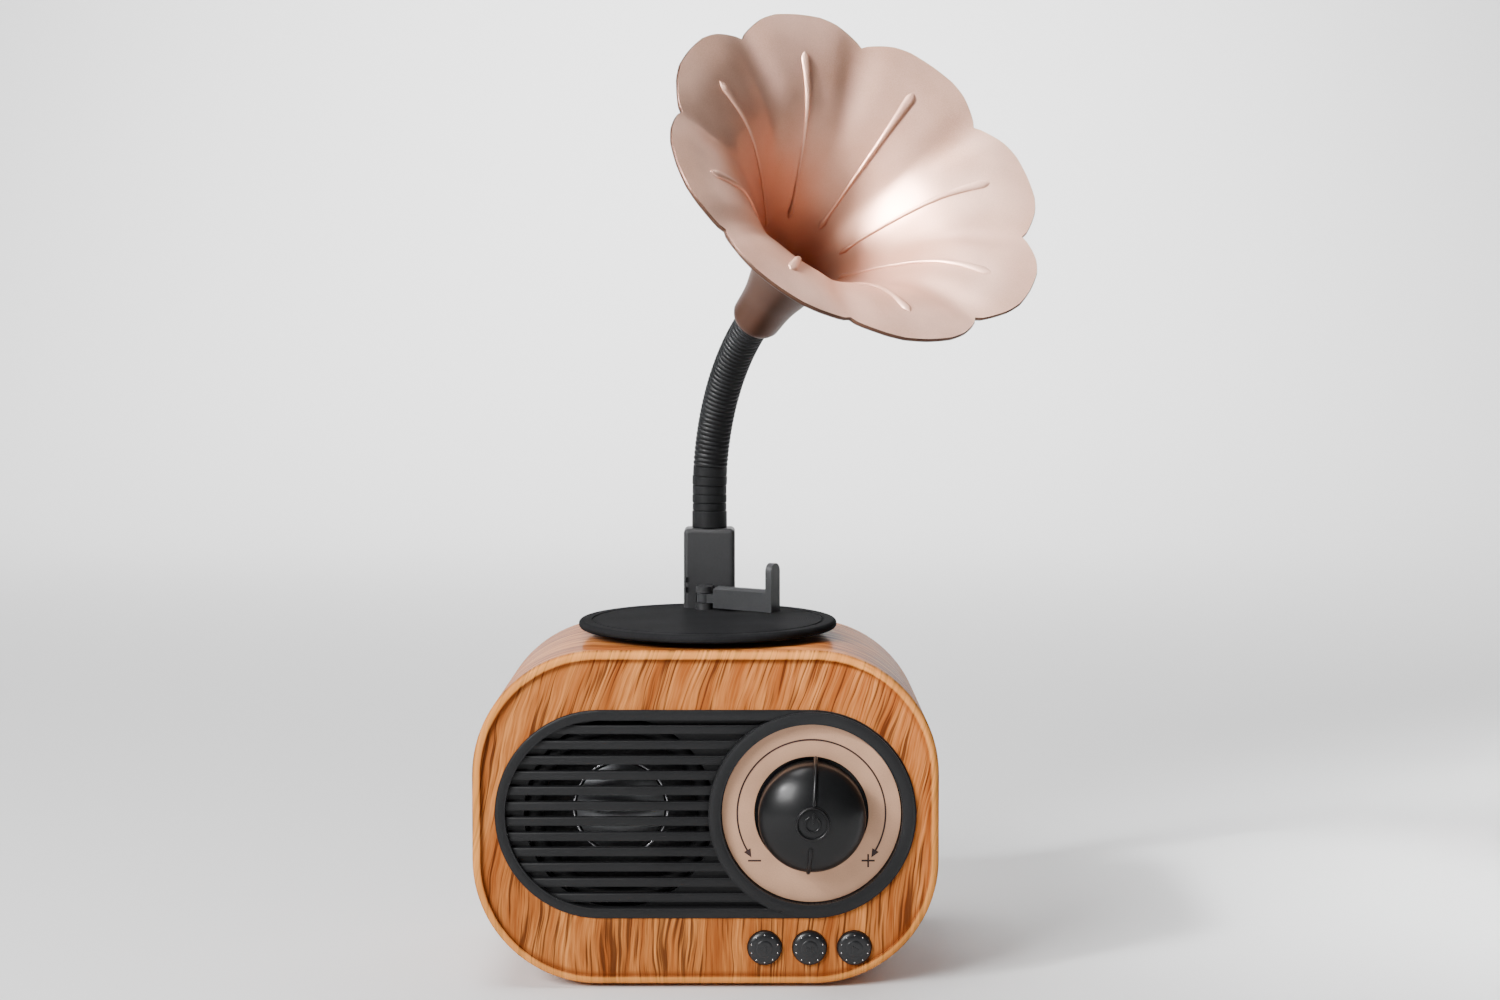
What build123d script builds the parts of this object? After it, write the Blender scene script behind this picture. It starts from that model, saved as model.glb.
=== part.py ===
"""Mini gramophone loudspeaker: wood-print cabinet, volume dial, swivel platter, gooseneck and horn.

x runs to the listener's right, y to the rear, z up from the surface that the feet stand on.
"""
import math
import os

from build123d import *

os.makedirs("parts", exist_ok=True)

# ------------------------------------------------------------------ driving dimensions (mm, degrees)
# Cabinet: a deep tub that is open at the back, and a shallow rear cover
CAB_W = 110.0
CAB_H = 79.0
CAB_D = 66.0
CAB_CORNER_R = 29.5
WALL = 2.0
LIP_W = 2.0
FACE_RECESS = 1.0
LIP_ROUND = 1.5
COVER_D = 10.0
COVER_ROUND = 6.5
SPIGOT_T = 1.4
SPIGOT_L = 3.0
SPIGOT_CLEAR = 0.15
FOOT_STAND = 1.0
FOOT_OUTER_R = 22.0
FOOT_INNER_R = 16.5
FOOT_SEAT = 1.0

# Fits
GLUE_CLEAR = 0.05
RUN_CLEAR = 0.05
SCREW_CLEAR = 0.03
DROP_CLEAR = 0.2

# Black front panel with its slats
PANEL_W = 99.3
PANEL_H = 49.4
PANEL_RISE = 0.8
PANEL_PROUD = 0.5
PANEL_SEAT = 0.8
RIM_W = 2.4
PANEL_BODY_WALL = 1.2
SLAT_COUNT = 12
SLAT_PITCH = 3.63
SLAT_H = 2.0
SLAT_SINK = 1.0
SLAT_D = 1.6
BAFFLE_T = 1.6
MIC_X = 17.6
MIC_HOLE_R = 0.45
MIC_R = 2.0
MIC_L = 2.2

# Loudspeaker driver behind the left half of the panel
DRIVER_X = -20.4
DRIVER_OPENING_R = 22.6
DRIVER_FLANGE_R = 26.6
DRIVER_FLANGE_T = 1.2
DRIVER_SCREW_R = 24.9
DRIVER_SCREW_PILOT_R = 0.8
DRIVER_HEAD_R = 1.4
DRIVER_D = 22.0
BASKET_REAR_R = 14.0
BASKET_T = 1.0
MAGNET_R = 15.0
MAGNET_T = 8.0
SURROUND_OUTER_R = 22.2
SURROUND_INNER_R = 18.2
COIL_R = 6.5
DUST_CAP_R = 10.5
CAP_RISE = 2.6
CAP_T = 0.5

# Volume dial and its knob
RING_R = 24.3
DIAL_R = 21.1
DIAL_GAP = 0.3
DIAL_T = 1.1
DIAL_HOLE_R = 13.5
MARK_R = 17.5
MARK_W = 0.4
MARK_T = 0.08
MARK_SWEEP = 240.0
SIGN_ANGLE = 50.0
SIGN_L = 3.1
KNOB_R = 12.6
KNOB_SIDE_H = 4.0
KNOB_TOP_H = 10.0
KNOB_SKIRT = 3.0
KNOB_WALL = 1.6
KNOB_HUB_R = 4.5
FIN_W = 1.0
FIN_PROUD = 0.5
FIN_REACH = 1.4
FIN_TILT = 4.0
FIN_FOOT = 0.9
SYMBOL_R = 3.65
SYMBOL_W = 0.75
SYMBOL_PROUD = 0.4
PUSH_TRAVEL = 0.8
POCKET_FLOOR_T = 1.4

# Encoder with its push switch
SHAFT_R = 2.5
BUSHING_R = 3.5
BUSHING_L = 2.9
ENCODER_W = 12.0
ENCODER_D = 6.5
SHAFT_HEAD_R = 3.2
SHAFT_HEAD_T = 1.0

# Three push buttons under the panel
BUTTON_R = 4.0
BUTTON_X = 24.5
BUTTON_PITCH = 10.6
BUTTON_RISE = 8.6
BUTTON_CLEAR = 0.15
BUTTON_EDGE_PROUD = 0.7
BUTTON_DOME = 0.8
BUTTON_FLANGE_R = 4.4
BUTTON_FLANGE_T = 1.0
BUTTON_STEM_R = 1.6
BUTTON_TRAVEL = 0.6
SWITCH_W = 6.0
SWITCH_T = 3.5

# Circuit boards
BOARD_DEPTH = 13.0
BOARD_T = 1.6
BOARD_LEFT = 2.8
BOARD_EDGE_GAP = 0.8
BOARD_RIGHT = 47.6
BOARD_BOSS_R = 2.6
BOARD_PILOT_R = 0.9
BOARD_BOSSES = ((5.6, 31.7), (43.5, 24.8))
PORT_BOARD_W = 46.0
PORT_BOARD_H = 13.0
PORT_BOARD_Z = 30.0
PORT_BOARD_GAP = 4.4
PORT_BOSS_X = 19.0
PORT_PLATE_W = 40.0
PORT_PLATE_H = 9.0
PORT_PLATE_T = 1.0
USB_X = -12.0
USB_W = 7.8
USB_H = 2.9
JACK_X = 0.0
JACK_R = 2.9
JACK_BORE_R = 1.8
CARD_X = 11.0
CARD_W = 12.0
CARD_H = 2.0

# Battery cell in two saddles on the floor
CELL_R = 9.2
CELL_L = 65.0
CELL_Y = 8.0
CELL_LIFT = 4.3
SADDLE_T = 3.0
SADDLE_X = 24.0
SADDLE_WALL = 1.5

# Rear cover screws
COVER_BOSS_R = 3.2
COVER_BOSS_REACH = 18.5
COVER_BOSS_L = 22.0
COVER_RIB_T = 2.0
COVER_SCREW_R = 1.3
COVER_SCREW_L = 14.0
SCREW_HEAD_R = 2.4
SCREW_HEAD_T = 1.6

# Swivelling platter made like a record
PLATTER_R = 32.0
PLATTER_T = 2.0
PLATTER_GAP = 1.6
PLATTER_ROUND = 0.9
GROOVE_INNER_R = 11.8
GROOVE_PITCH = 2.4
GROOVE_COUNT = 8
GROOVE_W = 0.5
GROOVE_T = 0.3
STUB_R = 4.0
BEARING_R = 15.0
BEARING_PLAY = 0.1
SPINDLE_BOSS_R = 8.0
SPINDLE_BOSS_L = 6.0
RETAINER_R = 6.5
RETAINER_T = 1.0
RETAINER_PLAY = 0.1
RETAINER_SCREW_R = 1.5

# Post at the rear edge of the platter
POST_W = 13.2
POST_D = 10.0
POST_H = 20.4
POST_Y = 25.8
POST_ROUND = 1.2
POST_SOCKET_L = 11.0
POST_SCREW_X = 3.6
POST_SCREW_R = 1.2
POST_SCREW_L = 6.5
POST_SLOT_X = -5.6
POST_SLOT_W = 0.9
POST_SLOT_H = 1.4
POST_SLOT_RISE = (7.2, 4.6)

# Tonearm on a vertical pin at the foot of the post
ARM_PIN_X = -1.2
ARM_PIN_FRONT = 2.4
ARM_PIN_R = 0.8
ARM_LUG_W = 4.4
ARM_LUG_RISE = 5.9
ARM_LUG_T = 1.6
ARM_BARREL_R = 2.0
ARM_PLAY = 0.2
ARM_ANGLE = -32.0
ARM_L = 19.6
ARM_W = 2.6
ARM_H = 5.6
ARM_LIFT = 0.6
ARM_CHAMFER = 0.8
ARM_ROOT = 3.4
ARM_PLATE_W = 4.2
ARM_PLATE_T = 1.8
ARM_PLATE_H = 12.4

# Gooseneck: a straight foot, then equal links along an arc
NECK_R = 4.5
NECK_FOOT_L = 8.65
NECK_BEND_R = 55.3
NECK_BEND = 54.33
NECK_HEADING = -59.65
LINK_JOINTS = 7
LINK_BALL_R = 2.9
LINK_BALL_CLEAR = 0.2
LINK_RIM_DROP = 1.2
LINK_SHOULDER_DROP = 2.5
LINK_STEM_R = 1.7
NECK_SPIGOT_R = 3.0
NECK_SPIGOT_L = 10.6
NECK_FOOT_PLAY = 0.1
SET_SCREW_R = 1.0
SET_SCREW_DROP = 6.0
SET_GROOVE = 0.6
TIP_SPIGOT_R = 2.5
TIP_SPIGOT_L = 7.5

# Horn: a flared bell with eight scalloped petals
HORN_L = 58.8
HORN_NECK_R = 6.3
HORN_NECK_ROUND = 1.4
HORN_T = 1.2
HORN_THROAT_R = 4.6
HORN_THROAT_L = 12.0
PETALS = 8
PETAL_TIP_R = 48.0
PETAL_ARC_R = 25.0
PETAL_NOTCH_R = 43.7

# Wiring
LEAD_R = 0.6
LEAD_PITCH = 1.6
LEAD_BEND_R = 2.4

# Horn profile: radius and distance from the neck at each point that it passes through
FLARE_MID_R = 11.3
FLARE_MID_L = HORN_L - 29.7
FLARE_WIDE_R = 25.5
FLARE_WIDE_L = HORN_L - 10.0
FLARE_LATE_R = 38.5
FLARE_LATE_L = HORN_L - 2.0
HORN_RIM_L = HORN_L + 0.9
HORN_TRIM = 1.0

# Small features of the bought-in parts and their fixings
FOOT_CHAMFER = 0.3
CROSS_L = 2.6
CROSS_W = 0.6
POCKET_ROOM = 0.5
BASKET_STEP = 3.0
BASKET_SEAT = 1.5
BASKET_WINDOW_W = 5.0
BASKET_WINDOW_L = 12.0
BASKET_WINDOW_CORNER = 1.2
BASKET_WINDOW_CUT = 6.0
BASKET_WINDOW_DROP = 1.5
BASKET_WINDOW_ROOM = 2.5
BASKET_WINDOW_OUT = 1.0
MAGNET_CHAMFER = 0.6
COIL_GAP = 0.6
COIL_HALF_T = 0.3
SURROUND_T = 0.6
SURROUND_EDGE = 0.1
SURROUND_RISE = 0.9
SURROUND_HOLLOW = 0.2
CONE_DROP = 6.0
CONE_T = 0.5
CONE_LIP = 0.7
CAP_GAP = 0.1
DRIVER_HEAD_T = 0.9
ARROW_HALF_W = 0.9
ARROW_L = 2.0
FIN_SINK = 0.6
SYMBOL_SINK = 1.2
KNOB_HOLLOW_DROP = 0.4
KNOB_HOLLOW_EASE = 1.4
SHAFT_HEAD_DROP = 2.5
CHIP_T = 1.6
CHIPS = ((16, 12, 10, 10), (34, 8, 7, 5), (33, -14, 5, 8))
BOARD_SCREW_L = 5.0
BOARD_HEAD_R = 1.9
BOARD_HEAD_T = 1.2
PORT_PLATE_CORNER = 2.0
PORT_OPENING_CLEAR = 0.3
PORT_LEDGE = 1.0
SOCKET_SHELL = 0.8
USB_INNER_CORNER = 0.5
USB_TONGUE_SHORT = 3.0
USB_TONGUE_T = 0.6
CELL_CHAMFER = 0.6
RETAINER_PILOT_L = 7.0
RETAINER_SCREW_L = 6.0
RETAINER_HEAD_T = 2.0
TAG_DZ = 8.0

# ------------------------------------------------------------------ places that follow from the sizes
CAB_MID_Z = FOOT_STAND + CAB_H / 2
CAB_TOP_Z = FOOT_STAND + CAB_H
PANEL_Z = CAB_MID_Z + PANEL_RISE
DIAL_X = (PANEL_W - PANEL_H) / 2
FACE_BACK = FACE_RECESS + WALL
PANEL_FRONT = FACE_RECESS - PANEL_PROUD
FLANGE_BACK = FACE_RECESS + PANEL_SEAT
SLAT_FRONT = PANEL_FRONT + SLAT_SINK
BAFFLE_FRONT = SLAT_FRONT + SLAT_D
BAFFLE_BACK = BAFFLE_FRONT + BAFFLE_T
PANEL_BODY_W = PANEL_W - 2 * (RIM_W - PANEL_BODY_WALL)
PANEL_BODY_H = PANEL_H - 2 * (RIM_W - PANEL_BODY_WALL)
WINDOW_W = PANEL_W - 2 * RIM_W
WINDOW_H = PANEL_H - 2 * RIM_W
DIAL_FRONT = BAFFLE_FRONT - DIAL_T
KNOB_BACK = KNOB_SKIRT
POCKET_FRONT = KNOB_BACK + PUSH_TRAVEL + POCKET_ROOM
POCKET_BACK = POCKET_FRONT + POCKET_FLOOR_T
ENCODER_FRONT = BOARD_DEPTH - ENCODER_D
BOARD_BACK = BOARD_DEPTH + BOARD_T
COVER_DEPTH = CAB_D - COVER_D
SPLIT_Y = CAB_D / 2 - COVER_D
CORNER_X = CAB_W / 2 - CAB_CORNER_R
CORNER_Z = CAB_H / 2 - CAB_CORNER_R
BOSS_DX = COVER_BOSS_REACH * math.cos(math.radians(45))
BOSS_SPOTS = [
    (sx * (CORNER_X + BOSS_DX), CAB_MID_Z + sz * (CORNER_Z + BOSS_DX))
    for sx in (-1, 1)
    for sz in (-1, 1)
]
BOARD_SPOTS = [(x, PANEL_Z + sz * dz) for x, dz in BOARD_BOSSES for sz in (-1, 1)]
BUTTON_Z = FOOT_STAND + BUTTON_RISE
BUTTON_XS = [BUTTON_X + i * BUTTON_PITCH for i in (-1, 0, 1)]
PLATTER_Z = CAB_TOP_Z + PLATTER_GAP
PLATTER_TOP_Z = PLATTER_Z + PLATTER_T
POST_TOP_Z = PLATTER_TOP_Z + POST_H
POST_FRONT_Y = POST_Y - POST_D / 2
CELL_Z = FOOT_STAND + CELL_LIFT + CELL_R
LINK_TURN = NECK_BEND / LINK_JOINTS
LINK_L = 2 * NECK_BEND_R * math.tan(math.radians(LINK_TURN / 2))
FIRST_JOINT = NECK_FOOT_L + LINK_L / 2


def facing(depth):
    """Sketch plane that faces the listener, this far behind the front edge of the cabinet."""
    return Plane((0, depth - CAB_D / 2, 0), x_dir=(1, 0, 0), z_dir=(0, -1, 0))


def turned(x, z):
    """Plane for a turned profile: its x is the radius, its y points forward from the front edge."""
    return Plane((x, -CAB_D / 2, z), x_dir=(1, 0, 0), z_dir=(0, 0, -1))


def forward_axis(x, z):
    """Axis that runs front to back through this place."""
    return Axis((x, 0, z), (0, 1, 0))


def neck_plane(along, turn):
    """Frame on the gooseneck: its z follows the neck, its x lies in the bend plane."""
    heading = math.radians(NECK_HEADING)
    tilt = math.radians(turn)
    flat = Vector(math.cos(heading), math.sin(heading), 0)
    z_dir = flat * math.sin(tilt) + Vector(0, 0, 1) * math.cos(tilt)
    x_dir = flat * math.cos(tilt) - Vector(0, 0, 1) * math.sin(tilt)
    return Plane(along, x_dir=x_dir, z_dir=z_dir)


# Joint centres of the gooseneck, from the post upwards, and the frame after each of them
LINK_PLANES = []
spot = Vector(0, POST_Y, POST_TOP_Z + FIRST_JOINT)
for number in range(1, LINK_JOINTS + 1):
    LINK_PLANES.append(neck_plane(spot, number * LINK_TURN))
    spot = spot + LINK_PLANES[-1].z_dir * LINK_L
HORN_PLANE = LINK_PLANES[-1].offset(LINK_L / 2)

# ------------------------------------------------------------------ cabinet
with BuildPart() as front_housing:
    with BuildSketch(facing(COVER_DEPTH)):
        with Locations((0, CAB_MID_Z)):
            RectangleRounded(CAB_W, CAB_H, CAB_CORNER_R)
    extrude(amount=COVER_DEPTH)
    fillet(front_housing.faces().sort_by(Axis.Y)[0].outer_wire().edges(), LIP_ROUND)
    with BuildSketch(facing(COVER_DEPTH)):
        with Locations((0, CAB_MID_Z)):
            RectangleRounded(CAB_W - 2 * WALL, CAB_H - 2 * WALL, CAB_CORNER_R - WALL)
    extrude(amount=COVER_DEPTH - FACE_BACK, mode=Mode.SUBTRACT)
    # The face lies inside a raised lip
    with BuildSketch(facing(FACE_RECESS)):
        with Locations((0, CAB_MID_Z)):
            RectangleRounded(CAB_W - 2 * LIP_W, CAB_H - 2 * LIP_W, CAB_CORNER_R - LIP_W)
    extrude(amount=FACE_RECESS, mode=Mode.SUBTRACT)
    # Seat and opening for the black panel
    with BuildSketch(facing(FLANGE_BACK)):
        with Locations((0, PANEL_Z)):
            SlotOverall(PANEL_W + 2 * GLUE_CLEAR, PANEL_H + 2 * GLUE_CLEAR)
    extrude(amount=PANEL_SEAT, mode=Mode.SUBTRACT)
    with BuildSketch(facing(FACE_BACK)):
        with Locations((0, PANEL_Z)):
            SlotOverall(PANEL_BODY_W + 2 * DROP_CLEAR, PANEL_BODY_H + 2 * DROP_CLEAR)
    extrude(amount=WALL, mode=Mode.SUBTRACT)
    # Button holes
    with BuildSketch(facing(FACE_BACK)):
        with Locations(*[(x, BUTTON_Z) for x in BUTTON_XS]):
            Circle(BUTTON_R + BUTTON_CLEAR)
    extrude(amount=WALL, mode=Mode.SUBTRACT)
    # Room behind them for the button flanges, where a thick wall would reach in
    with BuildSketch(facing(FACE_BACK + BUTTON_FLANGE_T + 2 * BUTTON_TRAVEL)):
        with Locations(*[(x, BUTTON_Z) for x in BUTTON_XS]):
            Circle(BUTTON_FLANGE_R + BUTTON_CLEAR)
    extrude(amount=BUTTON_FLANGE_T + 2 * BUTTON_TRAVEL, mode=Mode.SUBTRACT)
    # Bosses for the main board
    with BuildSketch(facing(BOARD_DEPTH)):
        with Locations(*BOARD_SPOTS):
            Circle(BOARD_BOSS_R)
            Circle(BOARD_PILOT_R, mode=Mode.SUBTRACT)
    extrude(amount=BOARD_DEPTH - FACE_BACK)
    # Bosses and ribs for the cover screws
    with BuildSketch(facing(COVER_DEPTH)):
        with Locations(*BOSS_SPOTS):
            Circle(COVER_BOSS_R)
            Circle(COVER_SCREW_R + SCREW_CLEAR, mode=Mode.SUBTRACT)
    extrude(amount=COVER_BOSS_L)
    rib_depth = COVER_DEPTH - SPIGOT_L - 2 * SPIGOT_CLEAR
    rib_from = COVER_BOSS_REACH + COVER_SCREW_R + 1
    rib_to = CAB_CORNER_R - WALL / 2
    with BuildSketch(facing(rib_depth)):
        for sx in (-1, 1):
            for sz in (-1, 1):
                turn = math.degrees(math.atan2(sz, sx))
                with Locations(Location((sx * CORNER_X, CAB_MID_Z + sz * CORNER_Z, 0), (0, 0, turn))):
                    with Locations(((rib_from + rib_to) / 2, 0)):
                        Rectangle(rib_to - rib_from, COVER_RIB_T)
    extrude(amount=COVER_BOSS_L - SPIGOT_L)
    # Saddles for the battery cell
    with BuildSketch(Plane.YZ.offset(SADDLE_X - SADDLE_T / 2)) as saddle:
        with Locations((CELL_Y, (CELL_Z + FOOT_STAND + WALL / 2) / 2)):
            Rectangle(2 * (CELL_R + SADDLE_WALL), CELL_Z - FOOT_STAND - WALL / 2)
        with Locations((CELL_Y, CELL_Z)):
            Circle(CELL_R + GLUE_CLEAR, mode=Mode.SUBTRACT)
    extrude(amount=SADDLE_T)
    with BuildSketch(Plane.YZ.offset(-SADDLE_X - SADDLE_T / 2)):
        add(saddle.sketch_local)
    extrude(amount=SADDLE_T)
    # Bearing boss for the platter, under the top wall
    with BuildSketch(Plane.XY.offset(CAB_TOP_Z - WALL - SPINDLE_BOSS_L)):
        Circle(SPINDLE_BOSS_R)
    extrude(amount=SPINDLE_BOSS_L + WALL / 2)
    with BuildSketch(Plane.XY.offset(CAB_TOP_Z - WALL - SPINDLE_BOSS_L)):
        Circle(STUB_R + RUN_CLEAR)
    extrude(amount=SPINDLE_BOSS_L + WALL, mode=Mode.SUBTRACT)
    # Seat of the rubber ring that it stands on
    with BuildSketch(Plane.XY.offset(FOOT_STAND)):
        Circle(FOOT_OUTER_R + GLUE_CLEAR)
        Circle(FOOT_INNER_R - GLUE_CLEAR, mode=Mode.SUBTRACT)
    extrude(amount=FOOT_SEAT, mode=Mode.SUBTRACT)
front_housing.part.label = "front_housing"

with BuildPart() as rear_cover:
    with BuildSketch(facing(CAB_D)):
        with Locations((0, CAB_MID_Z)):
            RectangleRounded(CAB_W, CAB_H, CAB_CORNER_R)
    extrude(amount=COVER_D)
    fillet(rear_cover.faces().sort_by(Axis.Y)[-1].outer_wire().edges(), COVER_ROUND)
    offset(amount=-WALL, openings=rear_cover.faces().sort_by(Axis.Y)[0])
    # Spigot that enters the tub
    with BuildSketch(facing(COVER_DEPTH + SPIGOT_T)):
        with Locations((0, CAB_MID_Z)):
            inset = WALL - SPIGOT_CLEAR
            RectangleRounded(CAB_W - 2 * inset, CAB_H - 2 * inset, CAB_CORNER_R - inset)
            inset = WALL + SPIGOT_CLEAR + SPIGOT_T
            RectangleRounded(CAB_W - 2 * inset, CAB_H - 2 * inset, CAB_CORNER_R - inset, mode=Mode.SUBTRACT)
    extrude(amount=SPIGOT_T)
    with BuildSketch(facing(COVER_DEPTH)):
        with Locations((0, CAB_MID_Z)):
            inset = WALL + SPIGOT_CLEAR
            RectangleRounded(CAB_W - 2 * inset, CAB_H - 2 * inset, CAB_CORNER_R - inset)
            inset = inset + SPIGOT_T
            RectangleRounded(CAB_W - 2 * inset, CAB_H - 2 * inset, CAB_CORNER_R - inset, mode=Mode.SUBTRACT)
    extrude(amount=SPIGOT_L)
    # Screw pillars, holes and counterbores
    with BuildSketch(facing(CAB_D - WALL / 2)):
        with Locations(*BOSS_SPOTS):
            Circle(COVER_BOSS_R)
    extrude(amount=COVER_D - WALL / 2)
    with BuildSketch(facing(CAB_D)):
        with Locations(*BOSS_SPOTS):
            Circle(COVER_SCREW_R + SCREW_CLEAR)
    extrude(amount=COVER_D, mode=Mode.SUBTRACT)
    with BuildSketch(facing(CAB_D)):
        with Locations(*BOSS_SPOTS):
            Circle(SCREW_HEAD_R + DROP_CLEAR)
    extrude(amount=2 * SCREW_HEAD_T, mode=Mode.SUBTRACT)
    # Bosses for the port board
    port_board_depth = CAB_D - WALL - PORT_BOARD_GAP
    with BuildSketch(facing(CAB_D - WALL / 2)):
        with Locations((-PORT_BOSS_X, PORT_BOARD_Z), (PORT_BOSS_X, PORT_BOARD_Z)):
            Circle(BOARD_BOSS_R)
            Circle(BOARD_PILOT_R, mode=Mode.SUBTRACT)
    extrude(amount=WALL / 2 + PORT_BOARD_GAP)
    # Recess and window for the port plate
    with BuildSketch(facing(CAB_D)):
        with Locations((0, PORT_BOARD_Z)):
            RectangleRounded(PORT_PLATE_W + 2 * GLUE_CLEAR, PORT_PLATE_H + 2 * GLUE_CLEAR, PORT_PLATE_CORNER + GLUE_CLEAR)
    extrude(amount=PORT_PLATE_T, mode=Mode.SUBTRACT)
    with BuildSketch(facing(CAB_D)):
        with Locations((0, PORT_BOARD_Z)):
            RectangleRounded(2 * (PORT_BOSS_X - BOARD_BOSS_R) - 2 * PORT_OPENING_CLEAR, PORT_PLATE_H - 2 * PORT_LEDGE, PORT_LEDGE)
    extrude(amount=WALL, mode=Mode.SUBTRACT)
rear_cover.part.label = "rear_cover"

with BuildPart() as rear_screws:
    head_back = CAB_D - 2 * SCREW_HEAD_T
    with BuildSketch(facing(head_back)):
        with Locations(*BOSS_SPOTS):
            Circle(COVER_SCREW_R)
    extrude(amount=COVER_SCREW_L)
    with BuildSketch(facing(head_back + SCREW_HEAD_T)):
        with Locations(*BOSS_SPOTS):
            Circle(SCREW_HEAD_R)
    extrude(amount=SCREW_HEAD_T)
    with BuildSketch(facing(head_back + SCREW_HEAD_T)):
        with Locations(*BOSS_SPOTS):
            Rectangle(CROSS_L, CROSS_W)
            Rectangle(CROSS_W, CROSS_L)
    extrude(amount=SCREW_HEAD_T / 2, mode=Mode.SUBTRACT)
rear_screws.part.label = "rear_screws"

with BuildPart() as rubber_foot:
    with BuildSketch():
        Circle(FOOT_OUTER_R)
        Circle(FOOT_INNER_R, mode=Mode.SUBTRACT)
    extrude(amount=FOOT_STAND + FOOT_SEAT)
    chamfer(rubber_foot.faces().group_by(Axis.Z)[0].edges(), FOOT_CHAMFER)
rubber_foot.part.label = "rubber_foot"

# ------------------------------------------------------------------ front panel and driver
with BuildPart() as front_panel:
    with BuildSketch(facing(FLANGE_BACK)):
        with Locations((0, PANEL_Z)):
            SlotOverall(PANEL_W, PANEL_H)
    extrude(amount=FLANGE_BACK - PANEL_FRONT)
    fillet(front_panel.faces().sort_by(Axis.Y)[0].outer_wire().edges(), PANEL_PROUD * 0.8)
    with BuildSketch(facing(BAFFLE_BACK)):
        with Locations((0, PANEL_Z)):
            SlotOverall(PANEL_BODY_W, PANEL_BODY_H)
    extrude(amount=BAFFLE_BACK - FLANGE_BACK)
    with BuildSketch(facing(BAFFLE_FRONT)):
        with Locations((0, PANEL_Z)):
            SlotOverall(WINDOW_W, WINDOW_H)
    extrude(amount=BAFFLE_FRONT, mode=Mode.SUBTRACT)
    with BuildSketch(facing(BAFFLE_BACK)):
        with Locations((DRIVER_X, PANEL_Z)):
            Circle(DRIVER_OPENING_R)
    extrude(amount=BAFFLE_T, mode=Mode.SUBTRACT)
    # Level slats across the window
    with BuildSketch(facing(BAFFLE_FRONT)):
        with Locations((0, PANEL_Z)):
            with GridLocations(0, SLAT_PITCH, 1, SLAT_COUNT):
                Rectangle(PANEL_W, SLAT_H)
            SlotOverall(WINDOW_W + PANEL_BODY_WALL, WINDOW_H + PANEL_BODY_WALL, mode=Mode.INTERSECT)
    extrude(amount=SLAT_D)
    # Ring and floor of the dial
    with BuildSketch(facing(BAFFLE_FRONT)):
        with Locations((DIAL_X, PANEL_Z)):
            Circle(PANEL_BODY_H / 2)
    extrude(amount=BAFFLE_FRONT)
    with BuildSketch(facing(FLANGE_BACK)):
        with Locations((DIAL_X, PANEL_Z)):
            Circle(RING_R)
    extrude(amount=FLANGE_BACK)
    with BuildSketch(facing(BAFFLE_BACK)):
        with Locations((DIAL_X, PANEL_Z)):
            Circle(DIAL_R + DIAL_GAP)
    extrude(amount=BAFFLE_T)
    with BuildSketch(facing(BAFFLE_FRONT)):
        with Locations((DIAL_X, PANEL_Z)):
            Circle(DIAL_R + DIAL_GAP)
    extrude(amount=BAFFLE_FRONT, mode=Mode.SUBTRACT)
    with BuildSketch(facing(POCKET_BACK)):
        with Locations((DIAL_X, PANEL_Z)):
            Circle(DIAL_HOLE_R + POCKET_FLOOR_T)
    extrude(amount=POCKET_BACK - BAFFLE_FRONT)
    with BuildSketch(facing(POCKET_FRONT)):
        with Locations((DIAL_X, PANEL_Z)):
            Circle(DIAL_HOLE_R)
    extrude(amount=POCKET_FRONT - BAFFLE_FRONT, mode=Mode.SUBTRACT)
    with BuildSketch(facing(POCKET_BACK)):
        with Locations((DIAL_X, PANEL_Z)):
            Circle(BUSHING_R + DROP_CLEAR)
    extrude(amount=POCKET_FLOOR_T, mode=Mode.SUBTRACT)
    # Pilot holes for the driver screws, and the sound hole of the microphone
    with BuildSketch(facing(BAFFLE_BACK)):
        with Locations((DRIVER_X, PANEL_Z)):
            with PolarLocations(DRIVER_SCREW_R, 4, 45):
                Circle(DRIVER_SCREW_PILOT_R + SCREW_CLEAR)
    extrude(amount=BAFFLE_T * 0.8, mode=Mode.SUBTRACT)
    mic_z = PANEL_Z - PANEL_H / 2 + RIM_W - PANEL_BODY_WALL * 0.6
    with BuildSketch(facing(BAFFLE_BACK)):
        with Locations((MIC_X, mic_z)):
            Circle(MIC_HOLE_R)
    extrude(amount=BAFFLE_BACK, mode=Mode.SUBTRACT)
front_panel.part.label = "front_panel"

with BuildPart() as mic_capsule:
    with BuildSketch(facing(BAFFLE_BACK + MIC_L)):
        with Locations((MIC_X, mic_z + MIC_R - MIC_HOLE_R)):
            Circle(MIC_R)
    extrude(amount=MIC_L)
mic_capsule.part.label = "mic_capsule"

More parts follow.
